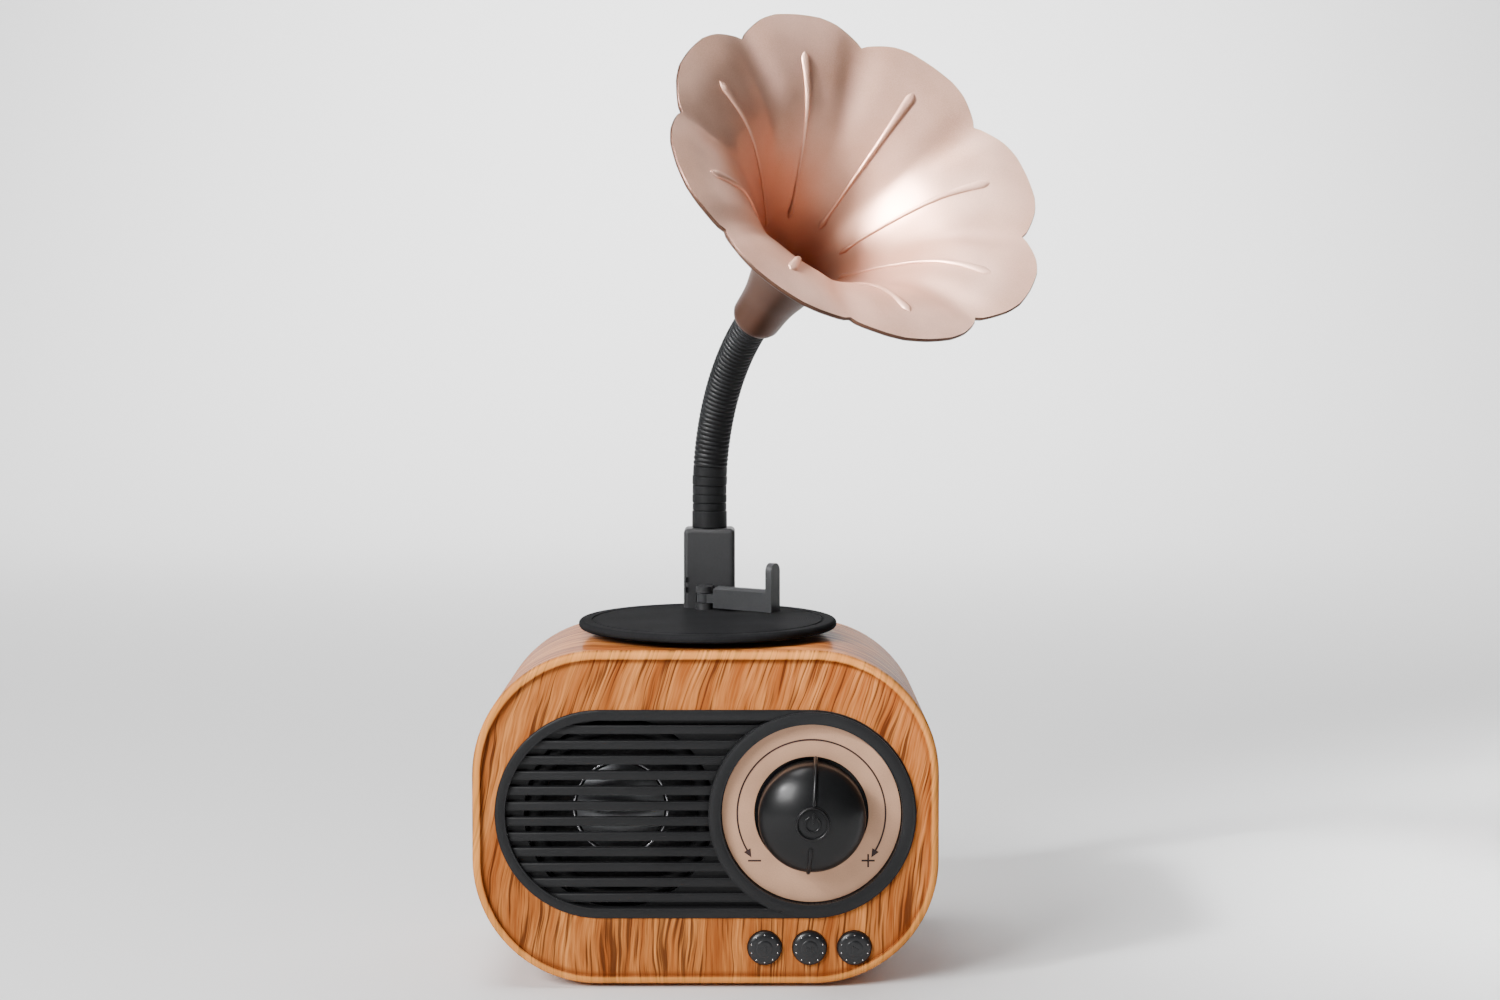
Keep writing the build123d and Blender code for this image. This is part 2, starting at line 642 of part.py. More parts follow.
driver_axis = forward_axis(DRIVER_X, PANEL_Z)
basket_front = -BAFFLE_BACK
flange_back = basket_front - DRIVER_FLANGE_T
magnet_front = basket_front - DRIVER_D + MAGNET_T
with BuildPart() as driver_basket:
    with BuildSketch(turned(DRIVER_X, PANEL_Z)):
        with BuildLine():
            Polyline(
                (SURROUND_OUTER_R, basket_front),
                (DRIVER_FLANGE_R, basket_front),
                (DRIVER_FLANGE_R, flange_back),
                (SURROUND_OUTER_R + BASKET_T, flange_back),
                (SURROUND_OUTER_R, flange_back - BASKET_STEP),
                (BASKET_REAR_R, magnet_front),
                (COIL_R + BASKET_SEAT, magnet_front),
                (COIL_R + BASKET_SEAT, magnet_front + BASKET_T),
                (BASKET_REAR_R - BASKET_T, magnet_front + BASKET_T),
                (SURROUND_OUTER_R - BASKET_T, flange_back - BASKET_STEP + BASKET_T),
                (SURROUND_OUTER_R, flange_back),
                close=True,
            )
        make_face()
    revolve(axis=driver_axis)
    with BuildSketch(facing(BAFFLE_BACK + DRIVER_FLANGE_T)):
        with Locations((DRIVER_X, PANEL_Z)):
            with PolarLocations(DRIVER_SCREW_R, 4, 45):
                Circle(DRIVER_SCREW_PILOT_R + SCREW_CLEAR)
    extrude(amount=DRIVER_FLANGE_T, mode=Mode.SUBTRACT)
    # Windows between the basket's legs
    window_depth = -(flange_back + magnet_front) / 2 + BASKET_WINDOW_DROP
    with BuildSketch(facing(window_depth + BASKET_WINDOW_ROOM)):
        with Locations((DRIVER_X, PANEL_Z)):
            with PolarLocations((BASKET_REAR_R + SURROUND_OUTER_R) / 2 + BASKET_WINDOW_OUT, 4):
                RectangleRounded(BASKET_WINDOW_W, BASKET_WINDOW_L, BASKET_WINDOW_CORNER)
    extrude(amount=BASKET_WINDOW_CUT, mode=Mode.SUBTRACT)
driver_basket.part.label = "driver_basket"

with BuildPart() as driver_magnet:
    with BuildSketch(facing(BAFFLE_BACK + DRIVER_D)):
        with Locations((DRIVER_X, PANEL_Z)):
            Circle(MAGNET_R)
    extrude(amount=MAGNET_T)
    chamfer(driver_magnet.edges().filter_by(GeomType.CIRCLE), MAGNET_CHAMFER)
    with BuildSketch(facing(-magnet_front + MAGNET_T / 2)):
        with Locations((DRIVER_X, PANEL_Z)):
            Circle(COIL_R + COIL_GAP)
            Circle(COIL_R - COIL_GAP, mode=Mode.SUBTRACT)
    extrude(amount=MAGNET_T / 2, mode=Mode.SUBTRACT)
driver_magnet.part.label = "driver_magnet"

surround_mid = (SURROUND_INNER_R + SURROUND_OUTER_R) / 2
with BuildPart() as driver_surround:
    with BuildSketch(turned(DRIVER_X, PANEL_Z)):
        with BuildLine():
            ThreePointArc(
                (SURROUND_OUTER_R - SURROUND_EDGE, basket_front - SURROUND_T),
                (surround_mid, basket_front + SURROUND_RISE),
                (SURROUND_INNER_R, basket_front - SURROUND_T),
            )
            Line((SURROUND_INNER_R, basket_front - SURROUND_T), (SURROUND_INNER_R, basket_front - 2 * SURROUND_T))
            ThreePointArc(
                (SURROUND_INNER_R, basket_front - 2 * SURROUND_T),
                (surround_mid, basket_front + SURROUND_HOLLOW),
                (SURROUND_OUTER_R - SURROUND_EDGE, basket_front - 2 * SURROUND_T),
            )
            Line((SURROUND_OUTER_R - SURROUND_EDGE, basket_front - 2 * SURROUND_T), (SURROUND_OUTER_R - SURROUND_EDGE, basket_front - SURROUND_T))
        make_face()
    revolve(axis=driver_axis)
driver_surround.part.label = "driver_surround"

cone_slope = CONE_DROP / (SURROUND_INNER_R - COIL_R)
cap_edge = basket_front - 2 * SURROUND_T - cone_slope * (SURROUND_INNER_R - DUST_CAP_R) + CONE_T + CAP_GAP
with BuildPart() as driver_cone:
    with BuildSketch(turned(DRIVER_X, PANEL_Z)):
        with BuildLine():
            Polyline(
                (SURROUND_INNER_R - GLUE_CLEAR, basket_front - CONE_LIP),
                (SURROUND_INNER_R - GLUE_CLEAR, basket_front - 2 * SURROUND_T),
                (COIL_R + COIL_HALF_T, basket_front - 2 * SURROUND_T - CONE_DROP),
                (COIL_R + COIL_HALF_T, magnet_front - MAGNET_T / 4),
                (COIL_R - COIL_HALF_T, magnet_front - MAGNET_T / 4),
                (COIL_R - COIL_HALF_T, basket_front - 2 * SURROUND_T - CONE_DROP + CONE_T),
                close=True,
            )
        make_face()
    revolve(axis=driver_axis)
driver_cone.part.label = "driver_cone"

with BuildPart() as dust_cap:
    with BuildSketch(turned(DRIVER_X, PANEL_Z)):
        with BuildLine():
            front = Spline(
                (0, cap_edge + CAP_RISE + CAP_T),
                (DUST_CAP_R, cap_edge + CAP_T),
                tangents=((1, 0), (1, -0.5)),
            )
            back = Spline((0, cap_edge + CAP_RISE), (DUST_CAP_R, cap_edge), tangents=((1, 0), (1, -0.5)))
            Line(front @ 0, back @ 0)
            Line(front @ 1, back @ 1)
        make_face()
    revolve(axis=driver_axis)
dust_cap.part.label = "dust_cap"

with BuildPart() as driver_screws:
    screw_back = BAFFLE_BACK + DRIVER_FLANGE_T
    with BuildSketch(facing(screw_back)):
        with Locations((DRIVER_X, PANEL_Z)):
            with PolarLocations(DRIVER_SCREW_R, 4, 45):
                Circle(DRIVER_SCREW_PILOT_R)
    extrude(amount=DRIVER_FLANGE_T + BAFFLE_T * 0.7)
    with BuildSketch(facing(screw_back + DRIVER_HEAD_T)):
        with Locations((DRIVER_X, PANEL_Z)):
            with PolarLocations(DRIVER_SCREW_R, 4, 45):
                Circle(DRIVER_HEAD_R)
    extrude(amount=DRIVER_HEAD_T)
driver_screws.part.label = "driver_screws"

# ------------------------------------------------------------------ volume dial
with BuildPart() as dial_plate:
    with BuildSketch(facing(BAFFLE_FRONT)):
        with Locations((DIAL_X, PANEL_Z)):
            Circle(DIAL_R)
            Circle(DIAL_HOLE_R, mode=Mode.SUBTRACT)
    extrude(amount=DIAL_T)
dial_plate.part.label = "dial_plate"

gap_half = (360 - MARK_SWEEP) / 2
with BuildPart() as dial_marks:
    with BuildSketch(facing(DIAL_FRONT)):
        with Locations((DIAL_X, PANEL_Z)):
            Circle(MARK_R + MARK_W / 2)
            Circle(MARK_R - MARK_W / 2, mode=Mode.SUBTRACT)
            wide = 2 * DIAL_R * math.sin(math.radians(gap_half))
            low = 2 * DIAL_R * math.cos(math.radians(gap_half))
            Polygon((0, 0), (-wide, -low), (wide, -low), align=None, mode=Mode.SUBTRACT)
            for side in (-1, 1):
                end = math.radians(270 + side * gap_half)
                run = math.radians(270 + side * (gap_half - 90))
                inner = Vector(math.cos(end), math.sin(end)) * (MARK_R - ARROW_HALF_W)
                outer = Vector(math.cos(end), math.sin(end)) * (MARK_R + ARROW_HALF_W)
                tip = (inner + outer) / 2 + Vector(math.cos(run), math.sin(run)) * ARROW_L
                Polygon((inner.X, inner.Y), (outer.X, outer.Y), (tip.X, tip.Y), align=None)
        for side in (-1, 1):
            sign = math.radians(270 + side * SIGN_ANGLE)
            with Locations((DIAL_X + MARK_R * math.cos(sign), PANEL_Z + MARK_R * math.sin(sign))):
                Rectangle(SIGN_L, MARK_W)
                if side > 0:
                    Rectangle(MARK_W, SIGN_L)
    extrude(amount=MARK_T)
dial_marks.part.label = "dial_marks"

dial_axis = forward_axis(DIAL_X, PANEL_Z)
with BuildPart() as volume_knob:
    with BuildSketch(turned(DIAL_X, PANEL_Z)):
        with BuildLine():
            Polyline((0, KNOB_TOP_H), (0, -KNOB_BACK), (KNOB_R, -KNOB_BACK), (KNOB_R, KNOB_SIDE_H))
            Spline((KNOB_R, KNOB_SIDE_H), (0, KNOB_TOP_H), tangents=((-0.25, 1), (-1, 0)))
        make_face()
    revolve(axis=dial_axis)
    # Finger fin across the dome, open at the middle for the symbol
    fin_in = SYMBOL_R + 1
    for half in (0, 180):
        fin = Plane(
            (DIAL_X, -CAB_D / 2, PANEL_Z),
            x_dir=Vector(0, 0, 1).rotate(Axis.Y, FIN_TILT + half),
            z_dir=Vector(0, 0, 1).rotate(Axis.Y, FIN_TILT + half).cross(Vector(0, -1, 0)),
        )
        with BuildSketch(fin):
            with BuildLine():
                Polyline(
                    (fin_in, KNOB_TOP_H - FIN_SINK),
                    (fin_in, FIN_FOOT - FACE_RECESS),
                    (KNOB_R + FIN_REACH, FIN_FOOT - FACE_RECESS),
                    (KNOB_R + FIN_PROUD, KNOB_SIDE_H),
                )
                Spline(
                    (KNOB_R + FIN_PROUD, KNOB_SIDE_H),
                    (fin_in, KNOB_TOP_H - FIN_SINK),
                    tangents=((-0.25, 1), (-1, 0.25)),
                )
            make_face()
        extrude(amount=FIN_W / 2, both=True)
    # Raised power symbol
    with BuildSketch(facing(-KNOB_TOP_H + SYMBOL_SINK)):
        with Locations((DIAL_X, PANEL_Z)):
            Circle(SYMBOL_R)
            Circle(SYMBOL_R - SYMBOL_W, mode=Mode.SUBTRACT)
        with Locations((DIAL_X, PANEL_Z + SYMBOL_R)):
            Rectangle(SYMBOL_R * 0.8, SYMBOL_R, mode=Mode.SUBTRACT)
        with Locations((DIAL_X, PANEL_Z + SYMBOL_R * 0.75)):
            Rectangle(SYMBOL_W, SYMBOL_R)
    extrude(amount=SYMBOL_SINK + SYMBOL_PROUD)
    # Hollow behind, with the hub and its bore
    with BuildSketch(turned(DIAL_X, PANEL_Z)):
        with BuildLine():
            Polyline(
                (KNOB_HUB_R, -KNOB_BACK),
                (KNOB_R - KNOB_WALL, -KNOB_BACK),
                (KNOB_R - KNOB_WALL, KNOB_SIDE_H - KNOB_HOLLOW_DROP),
                (KNOB_HUB_R, KNOB_TOP_H - KNOB_WALL - KNOB_HOLLOW_EASE),
                close=True,
            )
        make_face()
    revolve(axis=dial_axis, mode=Mode.SUBTRACT)
    with BuildSketch(facing(KNOB_BACK)):
        with Locations((DIAL_X, PANEL_Z)):
            Circle(KNOB_HUB_R + GLUE_CLEAR)
    extrude(amount=PUSH_TRAVEL, mode=Mode.SUBTRACT)
    bore_top = KNOB_TOP_H - 2 * KNOB_WALL
    with BuildSketch(facing(KNOB_BACK)):
        with Locations((DIAL_X, PANEL_Z)):
            Circle(SHAFT_R + RUN_CLEAR)
    extrude(amount=KNOB_BACK + bore_top, mode=Mode.SUBTRACT)
volume_knob.part.label = "volume_knob"

head_depth = ENCODER_FRONT + SHAFT_HEAD_DROP
with BuildPart() as encoder_shaft:
    with BuildSketch(facing(head_depth)):
        with Locations((DIAL_X, PANEL_Z)):
            Circle(SHAFT_R)
    extrude(amount=head_depth + bore_top - RUN_CLEAR)
    with BuildSketch(facing(head_depth + SHAFT_HEAD_T)):
        with Locations((DIAL_X, PANEL_Z)):
            Circle(SHAFT_HEAD_R)
    extrude(amount=SHAFT_HEAD_T)
encoder_shaft.part.label = "encoder_shaft"

with BuildPart() as encoder_can:
    with BuildSketch(facing(BOARD_DEPTH)):
        with Locations((DIAL_X, PANEL_Z)):
            Rectangle(ENCODER_W, ENCODER_W)
    extrude(amount=ENCODER_D)
    with BuildSketch(facing(ENCODER_FRONT)):
        with Locations((DIAL_X, PANEL_Z)):
            Circle(BUSHING_R)
    extrude(amount=BUSHING_L)
    with BuildSketch(facing(BOARD_DEPTH)):
        with Locations((DIAL_X, PANEL_Z)):
            Circle(SHAFT_HEAD_R + DROP_CLEAR)
    extrude(amount=BOARD_DEPTH - head_depth + DROP_CLEAR, mode=Mode.SUBTRACT)
    with BuildSketch(facing(BOARD_DEPTH)):
        with Locations((DIAL_X, PANEL_Z)):
            Circle(SHAFT_R + RUN_CLEAR)
    extrude(amount=BOARD_DEPTH - ENCODER_FRONT + BUSHING_L, mode=Mode.SUBTRACT)
encoder_can.part.label = "encoder_can"

# ------------------------------------------------------------------ push buttons
stem_end = BOARD_DEPTH - SWITCH_T + BUTTON_TRAVEL
buttons = []
for button_x, name in zip(BUTTON_XS, ("button_previous", "button_play", "button_next")):
    with BuildPart() as button:
        with BuildSketch(turned(button_x, BUTTON_Z)):
            with BuildLine():
                edge = BUTTON_EDGE_PROUD - FACE_RECESS
                flange_front = FACE_BACK + DROP_CLEAR / 2
                Polyline(
                    (0, edge + BUTTON_DOME),
                    (0, -stem_end),
                    (BUTTON_STEM_R, -stem_end),
                    (BUTTON_STEM_R, -flange_front - BUTTON_FLANGE_T),
                    (BUTTON_FLANGE_R, -flange_front - BUTTON_FLANGE_T),
                    (BUTTON_FLANGE_R, -flange_front),
                    (BUTTON_R, -flange_front),
                    (BUTTON_R, edge),
                )
                Spline((BUTTON_R, edge), (0, edge + BUTTON_DOME), tangents=((-0.6, 1), (-1, 0)))
            make_face()
        revolve(axis=forward_axis(button_x, BUTTON_Z))
    button.part.label = name
    buttons.append(button.part)

with BuildPart() as tact_switches:
    with BuildSketch(facing(BOARD_DEPTH)):
        with Locations(*[(x, BUTTON_Z) for x in BUTTON_XS]):
            Rectangle(SWITCH_W, SWITCH_W)
    extrude(amount=SWITCH_T)
    with BuildSketch(facing(BOARD_DEPTH - SWITCH_T)):
        with Locations(*[(x, BUTTON_Z) for x in BUTTON_XS]):
            Circle(BUTTON_STEM_R + DROP_CLEAR)
    extrude(amount=-(SWITCH_T - 1.0), mode=Mode.SUBTRACT)
tact_switches.part.label = "tact_switches"

# ------------------------------------------------------------------ boards, ports and battery
with BuildPart() as main_board:
    with BuildSketch(facing(BOARD_BACK)):
        with Locations((0, CAB_MID_Z)):
            inset = WALL + BOARD_EDGE_GAP
            RectangleRounded(CAB_W - 2 * inset, CAB_H - 2 * inset, CAB_CORNER_R - inset)
        with Locations(((BOARD_LEFT + BOARD_RIGHT) / 2, CAB_MID_Z)):
            Rectangle(BOARD_RIGHT - BOARD_LEFT, CAB_H, mode=Mode.INTERSECT)
        with Locations(*BOARD_SPOTS):
            Circle(BOARD_PILOT_R + SCREW_CLEAR, mode=Mode.SUBTRACT)
    extrude(amount=BOARD_T)
main_board.part.label = "main_board"

with BuildPart() as board_chips:
    with BuildSketch(facing(BOARD_BACK + CHIP_T)):
        for chip_x, chip_dz, chip_w, chip_h in CHIPS:
            with Locations((chip_x, PANEL_Z + chip_dz)):
                Rectangle(chip_w, chip_h)
    extrude(amount=CHIP_T)
board_chips.part.label = "board_chips"

with BuildPart() as board_screws:
    with BuildSketch(facing(BOARD_BACK)):
        with Locations(*BOARD_SPOTS):
            Circle(BOARD_PILOT_R - SCREW_CLEAR)
    extrude(amount=BOARD_T + BOARD_SCREW_L)
    with BuildSketch(facing(BOARD_BACK + BOARD_HEAD_T)):
        with Locations(*BOARD_SPOTS):
            Circle(BOARD_HEAD_R)
    extrude(amount=BOARD_HEAD_T)
board_screws.part.label = "board_screws"

port_front = port_board_depth - BOARD_T
with BuildPart() as port_board:
    with BuildSketch(facing(port_board_depth)):
        with Locations((0, PORT_BOARD_Z)):
            RectangleRounded(PORT_BOARD_W, PORT_BOARD_H, PORT_LEDGE)
        with Locations((-PORT_BOSS_X, PORT_BOARD_Z), (PORT_BOSS_X, PORT_BOARD_Z)):
            Circle(BOARD_PILOT_R + SCREW_CLEAR, mode=Mode.SUBTRACT)
    extrude(amount=BOARD_T)
port_board.part.label = "port_board"

with BuildPart() as port_board_screws:
    with BuildSketch(facing(port_board_depth + PORT_BOARD_GAP * 0.8)):
        with Locations((-PORT_BOSS_X, PORT_BOARD_Z), (PORT_BOSS_X, PORT_BOARD_Z)):
            Circle(BOARD_PILOT_R - SCREW_CLEAR)
    extrude(amount=BOARD_T + PORT_BOARD_GAP * 0.8)
    with BuildSketch(facing(port_front)):
        with Locations((-PORT_BOSS_X, PORT_BOARD_Z), (PORT_BOSS_X, PORT_BOARD_Z)):
            Circle(BOARD_HEAD_R)
    extrude(amount=BOARD_HEAD_T)
port_board_screws.part.label = "port_board_screws"

port_reach = CAB_D - PORT_PLATE_T - GLUE_CLEAR
with BuildPart() as usb_socket:
    with BuildSketch(facing(port_reach)):
        with Locations((USB_X, PORT_BOARD_Z)):
            RectangleRounded(USB_W, USB_H, SOCKET_SHELL)
    extrude(amount=port_reach - port_board_depth)
    with BuildSketch(facing(port_reach)):
        with Locations((USB_X, PORT_BOARD_Z)):
            RectangleRounded(USB_W - SOCKET_SHELL, USB_H - SOCKET_SHELL, USB_INNER_CORNER)
            Rectangle(USB_W - USB_TONGUE_SHORT, USB_TONGUE_T, mode=Mode.SUBTRACT)
    extrude(amount=port_reach - port_board_depth - SOCKET_SHELL, mode=Mode.SUBTRACT)
usb_socket.part.label = "usb_socket"

with BuildPart() as audio_jack:
    with BuildSketch(facing(port_reach)):
        with Locations((JACK_X, PORT_BOARD_Z)):
            Circle(JACK_R)
            Circle(JACK_BORE_R, mode=Mode.SUBTRACT)
    extrude(amount=port_reach - port_board_depth)
audio_jack.part.label = "audio_jack"

with BuildPart() as card_slot:
    with BuildSketch(facing(port_reach)):
        with Locations((CARD_X, PORT_BOARD_Z)):
            Rectangle(CARD_W - 3.2, CARD_H + 1.0)
            Rectangle(CARD_W - 4.4, CARD_H - 0.6, mode=Mode.SUBTRACT)
    extrude(amount=port_reach - port_board_depth)
card_slot.part.label = "card_slot"

with BuildPart() as port_plate:
    with BuildSketch(facing(CAB_D)):
        with Locations((0, PORT_BOARD_Z)):
            RectangleRounded(PORT_PLATE_W, PORT_PLATE_H, PORT_PLATE_CORNER)
        with Locations((USB_X, PORT_BOARD_Z)):
            RectangleRounded(USB_W - 0.6, USB_H - 0.6, 0.6, mode=Mode.SUBTRACT)
        with Locations((JACK_X, PORT_BOARD_Z)):
            Circle(JACK_BORE_R + 0.2, mode=Mode.SUBTRACT)
        with Locations((CARD_X, PORT_BOARD_Z)):
            Rectangle(CARD_W - 4.0, CARD_H - 0.4, mode=Mode.SUBTRACT)
    extrude(amount=PORT_PLATE_T)
port_plate.part.label = "port_plate"

with BuildPart() as battery_cell:
    with BuildSketch(Plane.YZ.offset(-CELL_L / 2)):
        with Locations((CELL_Y, CELL_Z)):
            Circle(CELL_R)
    extrude(amount=CELL_L)
    chamfer(battery_cell.edges().filter_by(GeomType.CIRCLE), CELL_CHAMFER)
battery_cell.part.label = "battery_cell"

# ------------------------------------------------------------------ platter and post
stub_bottom = CAB_TOP_Z - WALL - SPINDLE_BOSS_L - RETAINER_PLAY
with BuildPart() as platter:
    with BuildSketch(Plane.XY.offset(PLATTER_Z)):
        Circle(PLATTER_R)
    extrude(amount=PLATTER_T)
    fillet(platter.edges().filter_by(GeomType.CIRCLE), PLATTER_ROUND)
    with BuildSketch(Plane.XY.offset(PLATTER_TOP_Z - GROOVE_T)):
        for ring in range(GROOVE_COUNT):
            ring_r = GROOVE_INNER_R + ring * GROOVE_PITCH
            Circle(ring_r + GROOVE_W / 2)
            Circle(ring_r - GROOVE_W / 2, mode=Mode.SUBTRACT)
    extrude(amount=GROOVE_T, mode=Mode.SUBTRACT)
    with BuildSketch(Plane.XY.offset(stub_bottom)):
        Circle(STUB_R)
    extrude(amount=PLATTER_Z - stub_bottom)
    with BuildSketch(Plane.XY.offset(stub_bottom)):
        Circle(RETAINER_SCREW_R + SCREW_CLEAR)
    extrude(amount=RETAINER_PILOT_L, mode=Mode.SUBTRACT)
    # Holes and counterbores for the screws of the post
    with BuildSketch(Plane.XY.offset(PLATTER_Z)):
        with Locations((-POST_SCREW_X, POST_Y), (POST_SCREW_X, POST_Y)):
            Circle(POST_SCREW_R + SCREW_CLEAR)
    extrude(amount=PLATTER_T, mode=Mode.SUBTRACT)
    with BuildSketch(Plane.XY.offset(PLATTER_Z)):
        with Locations((-POST_SCREW_X, POST_Y), (POST_SCREW_X, POST_Y)):
            Circle(2 * POST_SCREW_R + DROP_CLEAR)
    extrude(amount=PLATTER_T / 2, mode=Mode.SUBTRACT)
platter.part.label = "platter"

with BuildPart() as bearing_washer:
    with BuildSketch(Plane.XY.offset(CAB_TOP_Z)):
        Circle(BEARING_R)
        Circle(STUB_R + RUN_CLEAR, mode=Mode.SUBTRACT)
    extrude(amount=PLATTER_GAP - BEARING_PLAY)
bearing_washer.part.label = "bearing_washer"

with BuildPart() as retainer:
    with BuildSketch(Plane.XY.offset(stub_bottom - RETAINER_T)):
        Circle(RETAINER_R)
        Circle(RETAINER_SCREW_R + SCREW_CLEAR, mode=Mode.SUBTRACT)
    extrude(amount=RETAINER_T)
retainer.part.label = "retainer"

with BuildPart() as retainer_screw:
    with BuildSketch(Plane.XY.offset(stub_bottom - RETAINER_T)):
        Circle(RETAINER_SCREW_R)
    extrude(amount=RETAINER_T + RETAINER_SCREW_L)
    with BuildSketch(Plane.XY.offset(stub_bottom - RETAINER_T - RETAINER_HEAD_T)):
        Circle(2 * RETAINER_SCREW_R)
    extrude(amount=RETAINER_HEAD_T)
retainer_screw.part.label = "retainer_screw"

with BuildPart() as post_screws:
    with BuildSketch(Plane.XY.offset(PLATTER_Z)):
        with Locations((-POST_SCREW_X, POST_Y), (POST_SCREW_X, POST_Y)):
            Circle(POST_SCREW_R)
    extrude(amount=PLATTER_T + POST_SCREW_L)
    with BuildSketch(Plane.XY.offset(PLATTER_Z + 0.1)):
        with Locations((-POST_SCREW_X, POST_Y), (POST_SCREW_X, POST_Y)):
            Circle(2 * POST_SCREW_R)
    extrude(amount=PLATTER_T / 2 - 0.1)
post_screws.part.label = "post_screws"

arm_pin_y = POST_FRONT_Y - ARM_PIN_FRONT
lug_top = PLATTER_TOP_Z + ARM_LUG_RISE
barrel_low = PLATTER_TOP_Z + ARM_LUG_T + ARM_PLAY
barrel_high = lug_top - ARM_LUG_T - ARM_PLAY
with BuildPart() as post:
    with BuildSketch(Plane.XY.offset(PLATTER_TOP_Z)):
        with Locations((0, POST_Y)):
            RectangleRounded(POST_W, POST_D, POST_ROUND)
    extrude(amount=POST_H)
    fillet(post.faces().sort_by(Axis.Z)[-1].edges(), POST_ROUND)
    # Lugs that hold the pin of the tonearm
    with BuildSketch(Plane.XY.offset(PLATTER_TOP_Z)):
        with Locations((ARM_PIN_X, arm_pin_y)):
            Circle(ARM_LUG_W / 2)
        with Locations((ARM_PIN_X, arm_pin_y + ARM_PIN_FRONT / 2 + 0.5)):
            Rectangle(ARM_LUG_W, ARM_PIN_FRONT + 1)
    extrude(amount=ARM_LUG_RISE)
    with BuildSketch(Plane.XY.offset(barrel_low - ARM_PLAY)):
        with Locations((ARM_PIN_X, arm_pin_y)):
            Circle(ARM_LUG_W / 2 + 0.1)
    extrude(amount=barrel_high - barrel_low + 2 * ARM_PLAY, mode=Mode.SUBTRACT)
    with BuildSketch(Plane.XY.offset(PLATTER_TOP_Z + 0.4)):
        with Locations((ARM_PIN_X, arm_pin_y)):
            Circle(ARM_PIN_R + SCREW_CLEAR)
    extrude(amount=ARM_LUG_RISE, mode=Mode.SUBTRACT)
    # Socket for the gooseneck
    with BuildSketch(Plane.XY.offset(POST_TOP_Z - POST_SOCKET_L)):
        with Locations((0, POST_Y)):
            Circle(NECK_SPIGOT_R + RUN_CLEAR)
    extrude(amount=POST_SOCKET_L, mode=Mode.SUBTRACT)
    with BuildSketch(Plane.XZ.offset(-POST_Y - POST_D / 2)):
        with Locations((0, POST_TOP_Z - SET_SCREW_DROP)):
            Circle(SET_SCREW_R + SCREW_CLEAR)
    extrude(amount=POST_D / 2, mode=Mode.SUBTRACT)
    # Pilot holes from below, and two shallow slots in the front
    with BuildSketch(Plane.XY.offset(PLATTER_TOP_Z)):
        with Locations((-POST_SCREW_X, POST_Y), (POST_SCREW_X, POST_Y)):
            Circle(POST_SCREW_R + SCREW_CLEAR)
    extrude(amount=POST_SCREW_L + 0.3, mode=Mode.SUBTRACT)
    with BuildSketch(Plane.XZ.offset(-POST_FRONT_Y)):
        for rise in POST_SLOT_RISE:
            with Locations((POST_SLOT_X, PLATTER_TOP_Z + rise)):
                Rectangle(POST_SLOT_W, POST_SLOT_H)
    extrude(amount=-0.8, mode=Mode.SUBTRACT)
post.part.label = "post"

with BuildPart() as neck_set_screw:
    with BuildSketch(Plane.XZ.offset(-POST_Y - POST_D / 2 + 0.5)):
        with Locations((0, POST_TOP_Z - SET_SCREW_DROP)):
            Circle(SET_SCREW_R)
    extrude(amount=POST_D / 2 - 0.5 - NECK_SPIGOT_R + SET_GROOVE - 0.1)
neck_set_screw.part.label = "neck_set_screw"

# ------------------------------------------------------------------ tonearm
with BuildPart() as arm_pin:
    with BuildSketch(Plane.XY.offset(PLATTER_TOP_Z + 0.5)):
        with Locations((ARM_PIN_X, arm_pin_y)):
            Circle(ARM_PIN_R)
    extrude(amount=ARM_LUG_RISE - 0.5)
arm_pin.part.label = "arm_pin"

arm_low = PLATTER_TOP_Z + ARM_LIFT
with BuildPart() as tonearm:
    arm_frame = Plane((ARM_PIN_X, arm_pin_y, 0)).rotated((0, 0, ARM_ANGLE))
    with BuildSketch(arm_frame.offset(arm_low)):
        with Locations(((ARM_ROOT + ARM_L) / 2, 0)):
            Rectangle(ARM_L - ARM_ROOT, ARM_W)
    extrude(amount=ARM_H)
    chamfer(tonearm.faces().sort_by(Axis.Z)[-1].edges(), ARM_CHAMFER)
    with BuildSketch(arm_frame.offset(barrel_low)):
        Circle(ARM_BARREL_R)
        with Locations((ARM_ROOT / 2 + 0.5, 0)):
            Rectangle(ARM_ROOT + 1, ARM_W)
    extrude(amount=barrel_high - barrel_low)
    with BuildSketch(arm_frame.offset(barrel_low)):
        Circle(ARM_PIN_R + RUN_CLEAR)
    extrude(amount=barrel_high - barrel_low, mode=Mode.SUBTRACT)
    # Upright stop plate at the free end, with an arched top
    plate_frame = Plane(
        arm_frame.from_local_coords((ARM_L, 0, 0)),
        x_dir=arm_frame.y_dir,
        z_dir=arm_frame.x_dir,
    )
    with BuildSketch(plate_frame):
        plate_straight = ARM_PLATE_H - ARM_PLATE_W / 2
        with Locations((0, arm_low + plate_straight / 2)):
            Rectangle(ARM_PLATE_W, plate_straight)
        with Locations((0, arm_low + plate_straight)):
            Circle(ARM_PLATE_W / 2)
    extrude(amount=ARM_PLATE_T)
tonearm.part.label = "tonearm"

